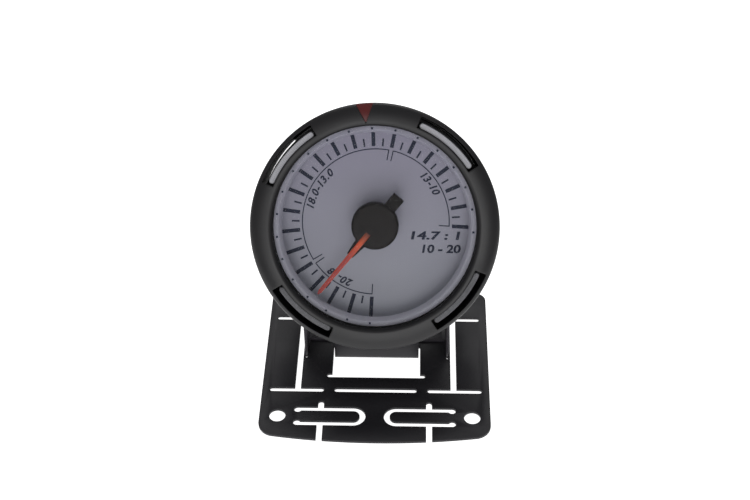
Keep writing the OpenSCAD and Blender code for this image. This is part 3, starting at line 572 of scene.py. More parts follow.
@dataclass(frozen=True)
class RadialArray:
    """Copies of one template round the gauge's axis, placed by Geometry Nodes."""

    count: int
    start_deg: float
    step_deg: float

    def tree(self) -> NodeTree:
        """Builds the node tree, with named inputs for the count, the angles and the finish.

        Returns:
            The tree.
        """
        tree = bpy.data.node_groups.new("radial_array", "GeometryNodeTree")
        for name, kind in (("Template", "NodeSocketGeometry"), ("Count", "NodeSocketInt"),
                           ("Start", "NodeSocketFloat"), ("Step", "NodeSocketFloat"),
                           ("Finish", "NodeSocketMaterial")):
            tree.interface.new_socket(name, in_out="INPUT", socket_type=kind)
        tree.interface.new_socket("Copies", in_out="OUTPUT", socket_type="NodeSocketGeometry")
        build = NodeBuilder(tree)
        given = build.add("NodeGroupInput").outputs
        line = build.add("GeometryNodeMeshLine", {"Count": given["Count"], "Offset": (0.0, 0.0, 0.0)})
        index = build.add("GeometryNodeInputIndex").outputs["Index"]
        angle = build.calculate("ADD", build.calculate("MULTIPLY", index, given["Step"]), given["Start"])
        euler = build.add("ShaderNodeCombineXYZ", {"Z": build.calculate("MULTIPLY", angle, -1.0)})
        turn = build.add("FunctionNodeEulerToRotation", {"Euler": euler.outputs["Vector"]})
        copies = build.add("GeometryNodeInstanceOnPoints", {
            "Points": line.outputs["Mesh"],
            "Instance": given["Template"],
            "Rotation": turn.outputs["Rotation"],
        })
        real = build.add("GeometryNodeRealizeInstances", {"Geometry": copies.outputs["Instances"]})
        dressed = build.add("GeometryNodeSetMaterial", {
            "Geometry": real.outputs["Geometry"],
            "Material": given["Finish"],
        })
        build.add("NodeGroupOutput", {"Copies": dressed.outputs["Geometry"]})
        return tree

    def spread(self, template: Mesh, material: Material, name: str) -> Mesh:
        """Spreads the template round the axis.

        Args:
            template: One copy, at twelve o'clock, in the gauge's frame.
            material: The copies' material.
            name: The result's name.

        Returns:
            One plain mesh of all copies, in the gauge's frame.
        """
        carrier = link_new(f"{name}_carrier", template)
        modifier = carrier.modifiers.new("radial_array", "NODES")
        modifier.node_group = self.tree()
        values = {"Count": self.count, "Start": math.radians(self.start_deg),
                  "Step": math.radians(self.step_deg), "Finish": material}
        for item in modifier.node_group.interface.items_tree:
            if item.in_out == "INPUT" and item.name in values:
                modifier[item.identifier] = values[item.name]
        mesh = bake(carrier)
        mesh.name = name
        return mesh


POWDER_COAT = Finish("black_powder_coat", (0.022, 0.021, 0.0245), 0.45, specular=0.26, variation=0.2,
                     relief_mm=0.5, relief_depth_mm=0.006)
# A lighter copy of the bracket's black coat for the cradle and the yoke: painted light, so these parts
# in the gauge's shade look lighter than the base plate.
BRACKET_COAT_PAINTED_LIGHT = Finish("black_bracket_coat_painted_light", (0.04, 0.037, 0.044), 0.36, variation=0.2, relief_mm=0.5,
                   relief_depth_mm=0.006)
SATIN_BLACK = Finish("satin_black_moulding", (0.006, 0.0055, 0.0068), 0.36, specular=0.4,
                     variation=0.15, patch_mm=12.0, relief_mm=0.25, relief_depth_mm=0.002)
MATT_BLACK = Finish("matt_black_bevel", (0.006, 0.006, 0.007), 0.75, specular=0.25, variation=0.1,
                    relief_mm=0.25, relief_depth_mm=0.002)
CASE_BLACK = Finish("grained_case_moulding", (0.011, 0.011, 0.012), 0.55, specular=0.4,
                    relief=Relief.SPARK_GRAIN, relief_depth_mm=0.02)
# Painted light and shade: the upper two strips are painted light as if lit from above, the lower two
# painted dark as if shaded.
FROSTED_STRIP_PAINTED_LIGHT = PaintedLightSlopeFinish("frosted_grey_strip_painted_light", (0.05, 0.05, 0.056), 0.5, variation=0.3,
                             relief=Relief.FROSTED_DOTS, relief_mm=0.42, relief_depth_mm=0.08,
                             patch_mm=0.8, top_colour=(0.42, 0.42, 0.45), half_height=0.012)
MARKER_RED = Finish("dark_red_marker", (0.085, 0.007, 0.007), 0.35, specular=0.4, patch_mm=2.0,
                    relief=Relief.NONE)
LENS_CLEAR = Finish("clear_lens", (0.2, 0.21, 0.22), 0.04, variation=0.02, rough_spread=0.02,
                    relief=Relief.NONE, alpha=0.02)
GUIDE_CLEAR = Finish("clear_acrylic", (0.8, 0.85, 0.9), 0.08, relief=Relief.NONE, alpha=0.35)
GASKET_BLACK = Finish("black_gasket", (0.012, 0.012, 0.012), 0.8, specular=0.3)
# Painted light and shade: the spacer and the reflector are painted lighter at the bottom, filling in the
# bezel's shadow, and darker at the top.
SPACER_WHITE_PAINTED_LIGHT = PaintedLightSlopeFinish("matt_white_spacer_painted_light", (0.37, 0.37, 0.43), 0.6, specular=0.3,
                            variation=0.05, top_colour=(0.255, 0.25, 0.31), half_height=0.02)
BRIGHT_STEEL = Finish("zinc_plated_steel", (0.55, 0.55, 0.56), 0.32, metallic=1.0,
                      relief=Relief.BRUSHED, relief_mm=0.12)
BLACK_STEEL = Finish("black_oxide_steel", (0.02, 0.02, 0.021), 0.4, metallic=0.6, relief_mm=0.2)
BRASS = Finish("turned_brass", (0.66, 0.46, 0.18), 0.3, metallic=1.0, relief=Relief.BRUSHED,
               relief_mm=0.1)
NYLON = Finish("natural_nylon", (0.62, 0.60, 0.53), 0.5, relief_mm=0.6)
BOARD_GREEN = Finish("green_solder_mask", (0.015, 0.10, 0.04), 0.3, variation=0.3, patch_mm=3.0)
CHIP_BLACK = Finish("chip_epoxy", (0.015, 0.015, 0.016), 0.6, relief=Relief.SPARK_GRAIN,
                    relief_mm=0.1)
CAN_METAL = Finish("bare_can", (0.6, 0.6, 0.62), 0.3, metallic=1.0, relief=Relief.BRUSHED,
                   relief_mm=0.15)
LAMP_YELLOW = Finish("lamp_phosphor", (0.75, 0.68, 0.3), 0.3, relief=Relief.NONE)
MOTOR_BLACK = Finish("motor_moulding", (0.03, 0.03, 0.033), 0.5, relief=Relief.SPARK_GRAIN,
                     relief_mm=0.3)
SOCKET_NATURAL = Finish("natural_socket", (0.62, 0.60, 0.54), 0.42, relief_mm=0.5)
SOCKET_BLACK = Finish("black_socket", (0.014, 0.014, 0.015), 0.45, relief_mm=0.5)
INK = Finish("dark_dial_ink", (0.022, 0.026, 0.048), 0.7, specular=0.2, variation=0.2,
             patch_mm=1.5, relief=Relief.NONE)
CAP_BLACK = Finish("satin_black_cap", (0.006, 0.004, 0.004), 0.5, specular=0.15, variation=0.2,
                   patch_mm=3.0, relief_mm=0.2, relief_depth_mm=0.003)
# Red acrylic with a painted glow at its root and a painted highlight along its edges.
NEEDLE_RED = NeedleRed("red_acrylic_painted_glow", (0.27, 0.03, 0.03), 0.4, specular=0.3, relief=Relief.NONE)
Rounded = tuple[str, Finish, str, float]


@dataclass
class Bezel:
    """The bezel ring, its snap beads, the light strips in its four windows and the red marker."""

    gauge: GaugeFrame
    rim_r: float = 32.5 * MM
    opening_r: float = 26.6 * MM
    bevel_w: float = 1.3 * MM
    matt_w: float = 0.5 * MM
    matt_below: float = 0.07 * MM
    crown_h: float = 0.9 * MM
    rim_drop: float = 0.6 * MM
    skirt_depth: float = 9.0 * MM
    skirt_taper: float = 1.0 * MM
    skirt_t: float = 0.9 * MM
    face_t: float = 1.5 * MM
    lip_t: float = 0.7 * MM
    collar_in_r: float = 27.05 * MM
    collar_out_r: float = 28.1 * MM
    window_in_r: float = 28.35 * MM
    window_out_r: float = 31.45 * MM
    window_deg: float = 36.0
    turn_deg: float = -4.9
    edge: float = 0.22 * MM
    edge_steps: int = 3
    sharp_deg: float = 28.0
    crown_steps: int = 14
    round_steps: int = 7
    columns: int = 360
    strip_in_r: float = 28.45 * MM
    strip_w: float = 1.5 * MM
    strip_deg: float = 34.0
    strip_front: float = -0.1 * MM
    strip_back: float = 4.5 * MM
    strip_edge: float = 0.35 * MM
    strip_edge_steps: int = 4
    side_steps: int = 40
    end_steps: int = 10
    rib_count: int = 31
    rib_w: float = 0.26 * MM
    rib_h: float = 0.1 * MM
    rib_margin: float = 0.12 * MM
    rib_margin_deg: float = 3.5
    notch_w: float = 4.8 * MM
    notch_tip_r: float = 27.2 * MM
    notch_depth: float = 0.4 * MM
    notch_past: float = 1.0 * MM
    marker_gap: float = 0.1 * MM
    marker_end_gap: float = 0.1 * MM
    marker_tip_w: float = 0.7 * MM
    marker_tip_r: float = 27.75 * MM
    marker_sink: float = 0.35 * MM
    marker_bed: float = 0.05 * MM
    marker_t: float = 0.1 * MM
    marker_ridge: float = 0.08 * MM
    marker_steps: int = 14
    bead_r: float = 30.42 * MM
    bead_t: float = 0.22 * MM
    bead_h: float = 0.8 * MM
    bead_rise: float = 0.1 * MM
    bead_steps: int = 24
    bead_spans: tuple[Point, ...] = ((28.0, 72.0), (116.0, 134.0), (211.0, 249.0), (301.0, 339.0))

    @property
    def crown_r(self) -> float:
        """Returns the radius at which the crown begins."""
        return self.opening_r + self.bevel_w

    @property
    def notch_slope(self) -> float:
        """Returns how fast half the notch's width grows with the radius."""
        return self.notch_w / 2 / (self.rim_r - self.notch_tip_r)

    def crown(self, radius: float) -> float:
        """Returns the crown's height above the opening's edge at a radius."""
        share = min(1.0, max(0.0, (radius - self.crown_r) / (self.rim_r - self.crown_r)))
        return -self.rim_drop + (self.crown_h + self.rim_drop) * math.sqrt(1 - share ** 2)

    def round_points(self) -> list[Point]:
        """Returns the section of the rounded inner edge, from the opening up to the crown."""
        angles = [math.pi / 2 * i / self.round_steps for i in range(1, self.round_steps)]
        return [(self.opening_r + self.bevel_w * (1 - math.cos(a)), self.crown_h * math.sin(a))
                for a in angles]

    def crown_points(self) -> list[Point]:
        """Spaces points along the crown, down to the widest line.

        Returns:
            The crown's section, with the windows' edges in it.
        """
        width = self.rim_r - self.crown_r
        turns = [math.pi / 2 * i / self.crown_steps for i in range(self.crown_steps + 1)]
        radii = {self.crown_r + width * math.sin(turn) for turn in turns}
        edges = {self.window_in_r, self.window_out_r}
        radii = {r for r in radii if min(abs(r - e) for e in edges) > self.edge}
        return [(r, self.crown(r)) for r in sorted(radii | edges)]

    def section(self) -> tuple[list[Point], list[int]]:
        """Lists the points of the ring's closed section.

        Returns:
            The points, and the numbers of the four at which a window is cut.
        """
        crown = self.crown_points()
        rear_r = self.rim_r - self.skirt_taper
        under = [(self.window_out_r, -self.face_t), (self.window_in_r, -self.face_t)]
        points = [(self.opening_r, -self.lip_t), (self.opening_r, 0.0), *self.round_points(), *crown]
        points += [
            (rear_r, -self.skirt_depth),
            (rear_r - self.skirt_t, -self.skirt_depth),
            (self.rim_r - self.skirt_t, -self.face_t),
            *under,
            (self.collar_out_r, -self.face_t),
            (self.collar_out_r, -self.skirt_depth),
            (self.collar_in_r, -self.skirt_depth),
            (self.collar_in_r, -self.lip_t),
        ]
        cuts = [points.index(next(p for p in crown if p[0] == r))
                for r in (self.window_in_r, self.window_out_r)]
        return points, cuts + [points.index(under[0]), points.index(under[1])]

    def in_window(self, angle_deg: float) -> bool:
        """Says whether an angle, counted from a window's middle line at 45 degrees, lies in a window."""
        return abs((angle_deg % 90) - 45) < self.window_deg / 2

    def ring_mesh(self) -> Mesh:
        """Builds the ring column by column, leaving the windows open.

        Returns:
            The ring's mesh, in the gauge's frame.
        """
        points, (top_in, top_out, low_out, low_in) = self.section()
        count = len(points)
        solid = bmesh.new()
        rings = []
        for i in range(self.columns):
            angle = math.radians(i * 360 / self.columns - self.turn_deg)
            x, y = math.cos(angle), math.sin(angle)
            rings.append([solid.verts.new((r * x, r * y, z)) for r, z in points])
        step = 360 / self.columns
        for i in range(self.columns):
            here, after = rings[i], rings[(i + 1) % self.columns]
            is_open = self.in_window((i + 0.5) * step)
            for j in range(count):
                k = (j + 1) % count
                if is_open and (top_in <= j < top_out or j == low_out):
                    continue
                solid.faces.new((here[j], after[j], after[k], here[k]))
            if is_open:
                solid.faces.new((here[top_in], after[top_in], after[low_in], here[low_in]))
                solid.faces.new((here[top_out], after[top_out], after[low_out], here[low_out]))
            if is_open != self.in_window((i - 0.5) * step):
                top = [here[j] for j in range(top_in, top_out + 1)]
                solid.faces.new([*top, here[low_out], here[low_in]])
        bmesh.ops.recalc_face_normals(solid, faces=solid.faces)
        round_edges(solid, sharp_edges(solid, self.sharp_deg), self.edge, self.edge_steps)
        return subtract(mesh_from(solid, "bezel_ring"), self.notch_mesh())

    def paint_bevel(self, ring: Mesh, shop: Workshop) -> None:
        """Gives the ring its finish, and the bevel round the opening a matt one.

        Args:
            ring: The ring's mesh, in the gauge's frame.
            shop: The workshop that keeps the materials.
        """
        ring.materials.clear()
        for finish in (SATIN_BLACK, MATT_BLACK):
            ring.materials.append(shop.material(finish))
        for polygon in ring.polygons:
            middle = polygon.center
            inside = math.hypot(middle.x, middle.y) < self.opening_r + self.matt_w
            polygon.material_index = int(inside and middle.z > -self.lip_t - self.matt_below)

    def turned(self, solid: BMesh, name: str) -> Mesh:
        """Turns a solid from twelve o'clock to the marker's place.

        Args:
            solid: The solid.
            name: The mesh's name.

        Returns:
            The turned mesh, in the gauge's frame.
        """
        turn = Matrix.Rotation(math.radians(-self.turn_deg), 3, "Z")
        bmesh.ops.rotate(solid, verts=solid.verts, cent=(0, 0, 0), matrix=turn)
        return mesh_from(solid, name)

    def notch_mesh(self) -> Mesh:
        """Builds the wedge that is cut out of the ring for the marker.

        Returns:
            The wedge's mesh, in the gauge's frame.
        """
        past = self.rim_r + self.notch_past
        half = self.notch_slope * (past - self.notch_tip_r)
        solid = bmesh.new()
        raise_outline(solid, ((0, self.notch_tip_r), (half, past), (-half, past)),
                      -self.notch_depth, self.notch_depth + self.crown_h * 2)
        return self.turned(solid, "notch")

    def strip_mesh(self) -> Mesh:
        """Builds one frosted light strip with round ends, at twelve o'clock.

        Returns:
            The strip's mesh, in the gauge's frame.
        """
        half = self.strip_w / 2
        middle_r = self.strip_in_r + half
        reach = self.strip_deg / 2 - math.degrees(half / middle_r)
        outline: list[Point] = []
        for side, radius, start in ((1, middle_r + half, 0), (-1, middle_r - half, 180)):
            end = 90 + side * reach
            centre = (middle_r * math.cos(math.radians(end)), middle_r * math.sin(math.radians(end)))
            outline += arc(radius, 90 - side * reach, end, self.side_steps)
            outline += arc(half, end + start, end + start + 180, self.end_steps, centre)[1:-1]
        solid = bmesh.new()
        risen = raise_outline(solid, outline, -self.strip_back, self.strip_back - self.strip_front)
        top = [e for e in solid.edges if all(v in risen for v in e.verts)]
        bmesh.ops.recalc_face_normals(solid, faces=solid.faces)
        round_edges(solid, top, self.strip_edge, self.strip_edge_steps)
        return mesh_from(solid, "light_strip")

    def rib_mesh(self) -> Mesh:
        """Builds one fine rib across a light strip's top, at twelve o'clock.

        Returns:
            The rib's mesh, in the gauge's frame.
        """
        low_r = self.strip_in_r + self.rib_margin
        high_r = self.strip_in_r + self.strip_w - self.rib_margin
        solid = bmesh.new()
        block(solid, (-self.rib_w / 2, low_r, -self.strip_front - self.rib_h),
              (self.rib_w / 2, high_r, -self.strip_front + self.rib_h))
        return mesh_from(solid, "strip_rib")

    def bead_mesh(self) -> Mesh:
        """Builds the snap beads inside the skirt's rear edge, which hold the ring on the case.

        Returns:
            The beads' mesh, in the gauge's frame.
        """
        solid = bmesh.new()
        for start, end in self.bead_spans:
            outline = arc(self.bead_r + self.bead_t, start, end, self.bead_steps)
            outline += arc(self.bead_r, end, start, self.bead_steps)
            raise_outline(solid, outline, self.bead_rise - self.skirt_depth, self.bead_h)
        return mesh_from(solid, "snap_beads")

    def marker_mesh(self) -> Mesh:
        """Builds the red marker, a wedge that follows the crown and stands in the notch.

        Returns:
            The marker's mesh, in the gauge's frame.
        """
        length = self.rim_r - self.marker_end_gap - self.marker_tip_r
        low = -self.notch_depth - self.marker_bed
        solid = bmesh.new()
        rows = []
        for i in range(self.marker_steps + 1):
            radius = self.marker_tip_r + length * math.sin(math.pi / 2 * i / self.marker_steps)
            half = self.notch_slope * (radius - self.notch_tip_r) - self.marker_gap
            half = max(self.marker_tip_w / 2, half)
            top = max(low + self.marker_t, self.crown(radius) - self.marker_sink)
            ridge = top + self.marker_ridge
            corners = ((-half, low), (half, low), (half, top), (0, ridge), (-half, top))
            rows.append([solid.verts.new((x, radius, z)) for x, z in corners])
        skin(solid, rows)
        return self.turned(solid, "bezel_marker")

    def build(self, shop: Workshop) -> None:
        """Builds and dresses the ring, the beads in it, the strips and the marker.

        Args:
            shop: The workshop that makes the pieces.
        """
        ring = self.ring_mesh()
        self.paint_bevel(ring, shop)
        # This finish carries painted light: the strips at the top of the gauge are lighter, those at the
        # bottom darker.
        frosted = shop.material(FROSTED_STRIP_PAINTED_LIGHT)
        rib_step = (self.strip_deg - self.rib_margin_deg) / (self.rib_count - 1)
        rib_row = RadialArray(self.rib_count, -rib_step * (self.rib_count - 1) / 2, rib_step)
        four = RadialArray(4, 45 + self.turn_deg, 90)
        strips = four.spread(self.strip_mesh(), frosted, "light_strip_bars")
        ribs = rib_row.spread(self.rib_mesh(), frosted, "rib_row")
        ribs = four.spread(ribs, frosted, "light_strip_ribs")
        shop.piece("bezel_ring", self.gauge.place(ring), SATIN_BLACK, Body.GAUGE,
                   ["bezel"], ROUND_SHADE_DEG)
        for name, mesh, finish, slot, node in (
            ("bezel_snap_beads", self.bead_mesh(), SATIN_BLACK, "bezel_plastic", "bezel"),
            ("light_strip_bars", strips, FROSTED_STRIP_PAINTED_LIGHT, "strip_plastic", "light_strips"),
            ("light_strip_ribs", ribs, FROSTED_STRIP_PAINTED_LIGHT, "strip_plastic", "light_strips"),
            ("marker_wedge", self.marker_mesh(), MARKER_RED, "marker_red", "bezel_marker"),
        ):
            shop.piece(name, self.gauge.place(mesh), finish, Body.GAUGE, [node])


@dataclass
class DialPrint:
    """The marks and numbers printed on the dial and on the spacer round it."""

    gauge: GaugeFrame
    ink_t: float = 0.05 * MM
    start_deg: float = 182.6
    step_deg: float = 13.5
    thick_count: int = 21
    mark_in_r: float = 20.35 * MM
    mark_len: float = 5.55 * MM
    mark_w: float = 1.0 * MM
    thin_len: float = 2.1 * MM
    thin_w: float = 0.45 * MM
    ring_mark_r: float = 25.75 * MM
    ring_mark_w: float = 0.55 * MM
    ring_z: float = -2.4 * MM
    arched_r: float = 17.85 * MM
    arched_h: float = 2.75 * MM
    arched_slant: float = 0.25
    straight_right: float = 22.4 * MM
    straight_h: float = 3.0 * MM
    straight_slant: float = 0.12
    boldness: float = 0.034
    arched_numbers: tuple = (("18.0-13.0", 299.8, 5.1), ("13-10", 53.3, 5.0), ("20-18", 211.8, 5.0))
    straight_numbers: tuple = (("14.7 : 1", -3.6 * MM, 1.6), ("10 - 20", -7.2 * MM, 1.25))

    def mark(self, width: float, low_r: float, high_r: float, floor: float) -> Mesh:
        """Builds one mark at twelve o'clock.

        Args:
            width: Its width.
            low_r: Its inner radius.
            high_r: Its outer radius.
            floor: The height that it lies on.

        Returns:
            The mark's mesh, in the gauge's frame.
        """
        solid = bmesh.new()
        block(solid, (-width / 2, low_r, floor), (width / 2, high_r, floor + self.ink_t))
        return mesh_from(solid, "mark")

    def lettering(self, text: str, height: float, slant: float) -> tuple[Mesh, float]:
        """Turns a number into a flat mesh at the origin.

        Args:
            text: The characters.
            height: The font's size, in metres.
            slant: How much the characters lean.

        Returns:
            The mesh, and the width of the characters.
        """
        curve = bpy.data.curves.new("number", "FONT")
        curve.body = text
        curve.size = height
        curve.shear = slant
        curve.bevel_depth = height * self.boldness
        curve.bevel_resolution = 0
        curve.extrude = self.ink_t / 2
        curve.align_y = "CENTER"
        curve.align_x = "CENTER"
        mesh = bake(link_new("number", curve))
        flatten = self.ink_t / (self.ink_t + 2 * height * self.boldness)
        mesh.transform(Matrix.Diagonal((1.0, 1.0, flatten, 1.0)))
        xs = [v.co.x for v in mesh.vertices]
        return mesh, (max(xs) - min(xs)) if xs else 0.0

    def arched(self, text: str, middle_deg: float, letter_deg: float) -> list[Mesh]:
        """Sets a number along the zone line, reading clockwise.

        Args:
            text: The characters.
            middle_deg: The angle of its middle, clockwise from the top.
            letter_deg: The angle that one character takes.

        Returns:
            One mesh for each character, in the gauge's frame.
        """
        wide = {".": 0.55, "-": 0.75, "1": 0.85}
        widths = [letter_deg * wide.get(c, 1.0) for c in text]
        angle = middle_deg - sum(widths) / 2
        glyphs = []
        for character, width in zip(text, widths):
            mesh, _ = self.lettering(character, self.arched_h, self.arched_slant)
            turn = Matrix.Rotation(-math.radians(angle + width / 2), 4, "Z")
            mesh.transform(turn @ Matrix.Translation((0, self.arched_r, DIAL_Z + self.ink_t / 2)))
            glyphs.append(mesh)
            angle += width
        return glyphs

    def straight(self, text: str, middle: float, wide: float) -> Mesh:
        """Sets a number along a straight line, ending at the same right edge as the others.

        Args:
            text: The characters.
            middle: The height of its middle on the dial.
            wide: How much the characters are widened.

        Returns:
            The mesh, in the gauge's frame.
        """
        mesh, width = self.lettering(text, self.straight_h, self.straight_slant)
        place = (self.straight_right - width * wide / 2, middle, DIAL_Z + self.ink_t / 2)
        mesh.transform(Matrix.Translation(place) @ Matrix.Diagonal((wide, 1.0, 1.0, 1.0)))
        return mesh

    def build(self, shop: Workshop) -> None:
        """Builds and dresses the marks and the numbers.

        Args:
            shop: The workshop that makes the pieces.
        """
        ink = shop.material(INK)
        thick = RadialArray(self.thick_count, self.start_deg, self.step_deg)
        thin = RadialArray(self.thick_count - 1, self.start_deg + self.step_deg / 2, self.step_deg)
        long_mark = self.mark(self.mark_w, self.mark_in_r, self.mark_in_r + self.mark_len, DIAL_Z)
        short_mark = self.mark(self.thin_w, self.mark_in_r, self.mark_in_r + self.thin_len, DIAL_Z)
        low_r = self.ring_mark_r - self.ring_mark_w / 2
        ring_mark = self.mark(self.ring_mark_w, low_r, low_r + self.ring_mark_w, self.ring_z)
        for name, array, template, node in (
            ("thick_marks", thick, long_mark, "dial_marks"),
            ("thin_marks", thin, short_mark, "dial_marks"),
            ("ring_marks", thick, ring_mark, "spacer_marks"),
        ):
            mesh = self.gauge.place(array.spread(template, ink, name))
            shop.piece(name, mesh, INK, Body.GAUGE, [node])
        glyphs = [glyph for number in self.arched_numbers for glyph in self.arched(*number)]
        glyphs += [self.straight(*number) for number in self.straight_numbers]
        for number, mesh in enumerate(glyphs):
            shop.piece(f"number_{number:02d}", self.gauge.place(mesh), INK, Body.GAUGE)


@dataclass
class Pointer:
    """The red needle and the black cap that carries it."""

    gauge: GaugeFrame
    angle_deg: float = 219.4
    top_z: float = -3.5 * MM
    thick: float = 0.9 * MM
    ridge: float = 0.12 * MM
    start_r: float = 2.65 * MM
    tip_r: float = 23.6 * MM
    root_w: float = 1.5 * MM
    tip_w: float = 0.95 * MM
    stations: int = 24
    end_share: float = 0.35
    cap_edge_mm: float = 0.22
    cap_edge_steps: int = 3

    def half_width(self, along: float) -> float:
        """Returns half the needle's width at a share of its length."""
        return (self.root_w + (self.tip_w - self.root_w) * along) / 2

    def needle_mesh(self) -> Mesh:
        """Builds the needle, with a low ridge, a rounded tip and each point's place stored.

        Returns:
            The needle's mesh, in the gauge's frame.
        """
        shares = (-1.0, -0.5, 0.0, 0.5, 1.0)
        low_z = self.top_z - self.thick
        solid = bmesh.new()
        rows = []
        for i in range(self.stations + 1):
            radius = self.start_r + (self.tip_r - self.start_r) * i / self.stations
            half = self.half_width(i / self.stations)
            if radius > self.tip_r - half:
                rest = (radius - self.tip_r + half) / half
                half *= max(self.end_share, math.sqrt(max(0.0, 1 - rest ** 2)))
            corners = [(half * s, radius, self.top_z + self.ridge * (1 - abs(s))) for s in shares]
            corners += [(half * s, radius, low_z) for s in reversed(shares)]
            rows.append([solid.verts.new(c) for c in corners])
        skin(solid, rows)
        mesh = mesh_from(solid, "needle")
        along = [(v.co.y - self.start_r) / (self.tip_r - self.start_r) for v in mesh.vertices]
        across = [min(1.0, abs(v.co.x) / self.half_width(a)) for v, a in zip(mesh.vertices, along)]
        for name, values in (("along", along), ("across", across)):
            mesh.attributes.new(name, "FLOAT", "POINT").data.foreach_set("value", values)
        mesh.transform(Matrix.Rotation(-math.radians(self.angle_deg), 4, "Z"))
        return mesh

    def build(self, shop: Workshop) -> None:
        """Builds and dresses the needle and the cap.

        Args:
            shop: The workshop that makes the pieces.
        """
        shop.piece("needle", self.gauge.place(self.needle_mesh()), NEEDLE_RED, Body.POINTER,
                   ["pointer_needle"])
        shop.soften("pointer_cap", CAP_BLACK, Body.POINTER, self.cap_edge_mm,
                    self.cap_edge_steps)


@dataclass
class Bracket:
    """The slotted base plate, the cradle on it and the pivots, with the width of their edges in mm."""

    rounded: tuple[Rounded, ...] = (
        ("base_plate", POWDER_COAT, "bracket_sheet", 0.1),
        ("cradle", BRACKET_COAT_PAINTED_LIGHT, "bracket_sheet", 0.1),
        ("cradle_rivets", BLACK_STEEL, "bright_steel", 0.1),
        ("pivot_screws", BLACK_STEEL, "black_screws", 0.2),
        ("friction_washers", NYLON, "nylon", 0.08),
        ("pivot_nuts", BRIGHT_STEEL, "bright_steel", 0.2),
    )

    def build(self, shop: Workshop) -> None:
        """Dresses the bracket's pieces, with rounded edges where light catches them."""
        for node, finish, slot, width_mm in self.rounded:
            shop.soften(node, finish, Body.BRACKET, width_mm)


@dataclass
class StudPair:
    """The two threaded studs that carry the yoke."""

    gauge: GaugeFrame
    spread_x: float = 12.0 * MM
    drop: float = 9.5 * MM
    radius: float = 2.0 * MM
    end_depth: float = 42.0 * MM
    start_depth: float = 32.0 * MM
    flange_r: float = 3.5 * MM
    flange_t: float = 0.66 * MM
    pitch: float = 0.7 * MM
    thread_depth: float = 0.3 * MM
    chamfer: float = 0.5 * MM
    chamfer_in: float = 0.42 * MM
    around: int = 32
    per_turn: int = 8

    def stud_mesh(self, middle_x: float) -> Mesh:
        """Builds one stud, with a helical thread and a chamfered end.

        Args:
            middle_x: The stud's place to the right of the gauge's middle line.

        Returns:
            The stud's mesh, in the gauge's frame.
        """
        length = self.end_depth - self.start_depth
        count = int(length / self.pitch * self.per_turn)
        solid = bmesh.new()
        rows = []
        for i in range(count + 1):
            depth = self.start_depth + length * i / count
            reach = min(1.0, (self.end_depth - depth) / self.chamfer)
            limit = self.radius - self.chamfer_in * (1 - reach)
            row = []
            for j in range(self.around):
                phase = (depth / self.pitch + j / self.around) % 1.0
                radius = min(limit, self.radius - self.thread_depth * abs(2 * phase - 1))
                angle = 2 * math.pi * j / self.around
                x, y = middle_x + radius * math.cos(angle), -self.drop + radius * math.sin(angle)
                row.append(solid.verts.new((x, y, -depth)))
            rows.append(row)
        skin(solid, rows)
        seat = Matrix.Translation((middle_x, -self.drop, -self.start_depth + self.flange_t / 2))
        bmesh.ops.create_cone(solid, cap_ends=True, segments=self.around, radius1=self.flange_r,
                              radius2=self.flange_r, depth=self.flange_t, matrix=seat)
        return mesh_from(solid, "stud")

    def build(self, shop: Workshop) -> None:
        """Builds and dresses both studs.

        Args:
            shop: The workshop that makes the pieces.
        """
        for name, middle_x in (("stud_left", -self.spread_x), ("stud_right", self.spread_x)):
            shop.piece(name, self.gauge.place(self.stud_mesh(middle_x)), BRIGHT_STEEL, Body.GAUGE,
                       ["mounting_studs"], ROUND_SHADE_DEG)


@dataclass
class GaugeBody:
    """The case, its cover, the yoke and the pieces inside, with the width of their edges in mm."""

    gauge: GaugeFrame
    rounded: tuple[Rounded, ...] = (
        ("case", CASE_BLACK, "case_plastic", 0.2),
        ("rear_cover", CASE_BLACK, "case_plastic", 0.15),
        ("yoke", BRACKET_COAT_PAINTED_LIGHT, "bracket_sheet", 0.12),
        ("cover_screws", BRIGHT_STEEL, "bright_steel", 0.12),
        ("stud_washers", BRIGHT_STEEL, "bright_steel", 0.1),
        ("stud_nuts", BRIGHT_STEEL, "bright_steel", 0.2),
        ("power_socket", SOCKET_NATURAL, "socket_natural", 0.12),
        ("sensor_socket", SOCKET_BLACK, "socket_black", 0.12),
        ("socket_pins", BRASS, "brass_posts", 0.08),
        ("spacer_ring", SPACER_WHITE_PAINTED_LIGHT, "spacer_white", 0.1),
    )
    dressed: tuple[tuple[str, Finish], ...] = (
        ("zone_lines", INK),
        ("lens", LENS_CLEAR),
        ("lens_gasket", GASKET_BLACK),
        ("light_guide", GUIDE_CLEAR),
        ("reflector", SPACER_WHITE_PAINTED_LIGHT),
        ("light_board", BOARD_GREEN),
        ("lamps", LAMP_YELLOW),
        ("motor_housing", MOTOR_BLACK),
        ("board_posts", BRASS),
        ("board_screws", BRIGHT_STEEL),
        ("main_board", BOARD_GREEN),
        ("board_chips", CHIP_BLACK),
        ("capacitors", CAN_METAL),
        ("motor_shaft", BRIGHT_STEEL),
    )

    def build(self, shop: Workshop) -> None:
        """Dresses the case, the yoke and everything inside the case.

        Args:
            shop: The workshop that makes the pieces.
        """
        for node, finish, slot, width_mm in self.rounded:
            shop.soften(node, finish, Body.GAUGE, width_mm)
        # The dial film is painted lighter at its bottom than its top: painted light that fills in the
        # bezel's shadow on the dial.
        film = PaintedLightSlopeFinish("dial_film_painted_light", (0.365, 0.38, 0.43), 0.45, specular=0.3, variation=0.1,
                            patch_mm=15.0, relief_mm=0.6, relief_depth_mm=0.002,
                            centre=tuple(self.gauge.matrix @ Vector((0, 0, DIAL_Z))))
        for node, finish in (("dial", film), *self.dressed):
            shop.dress(node, finish)


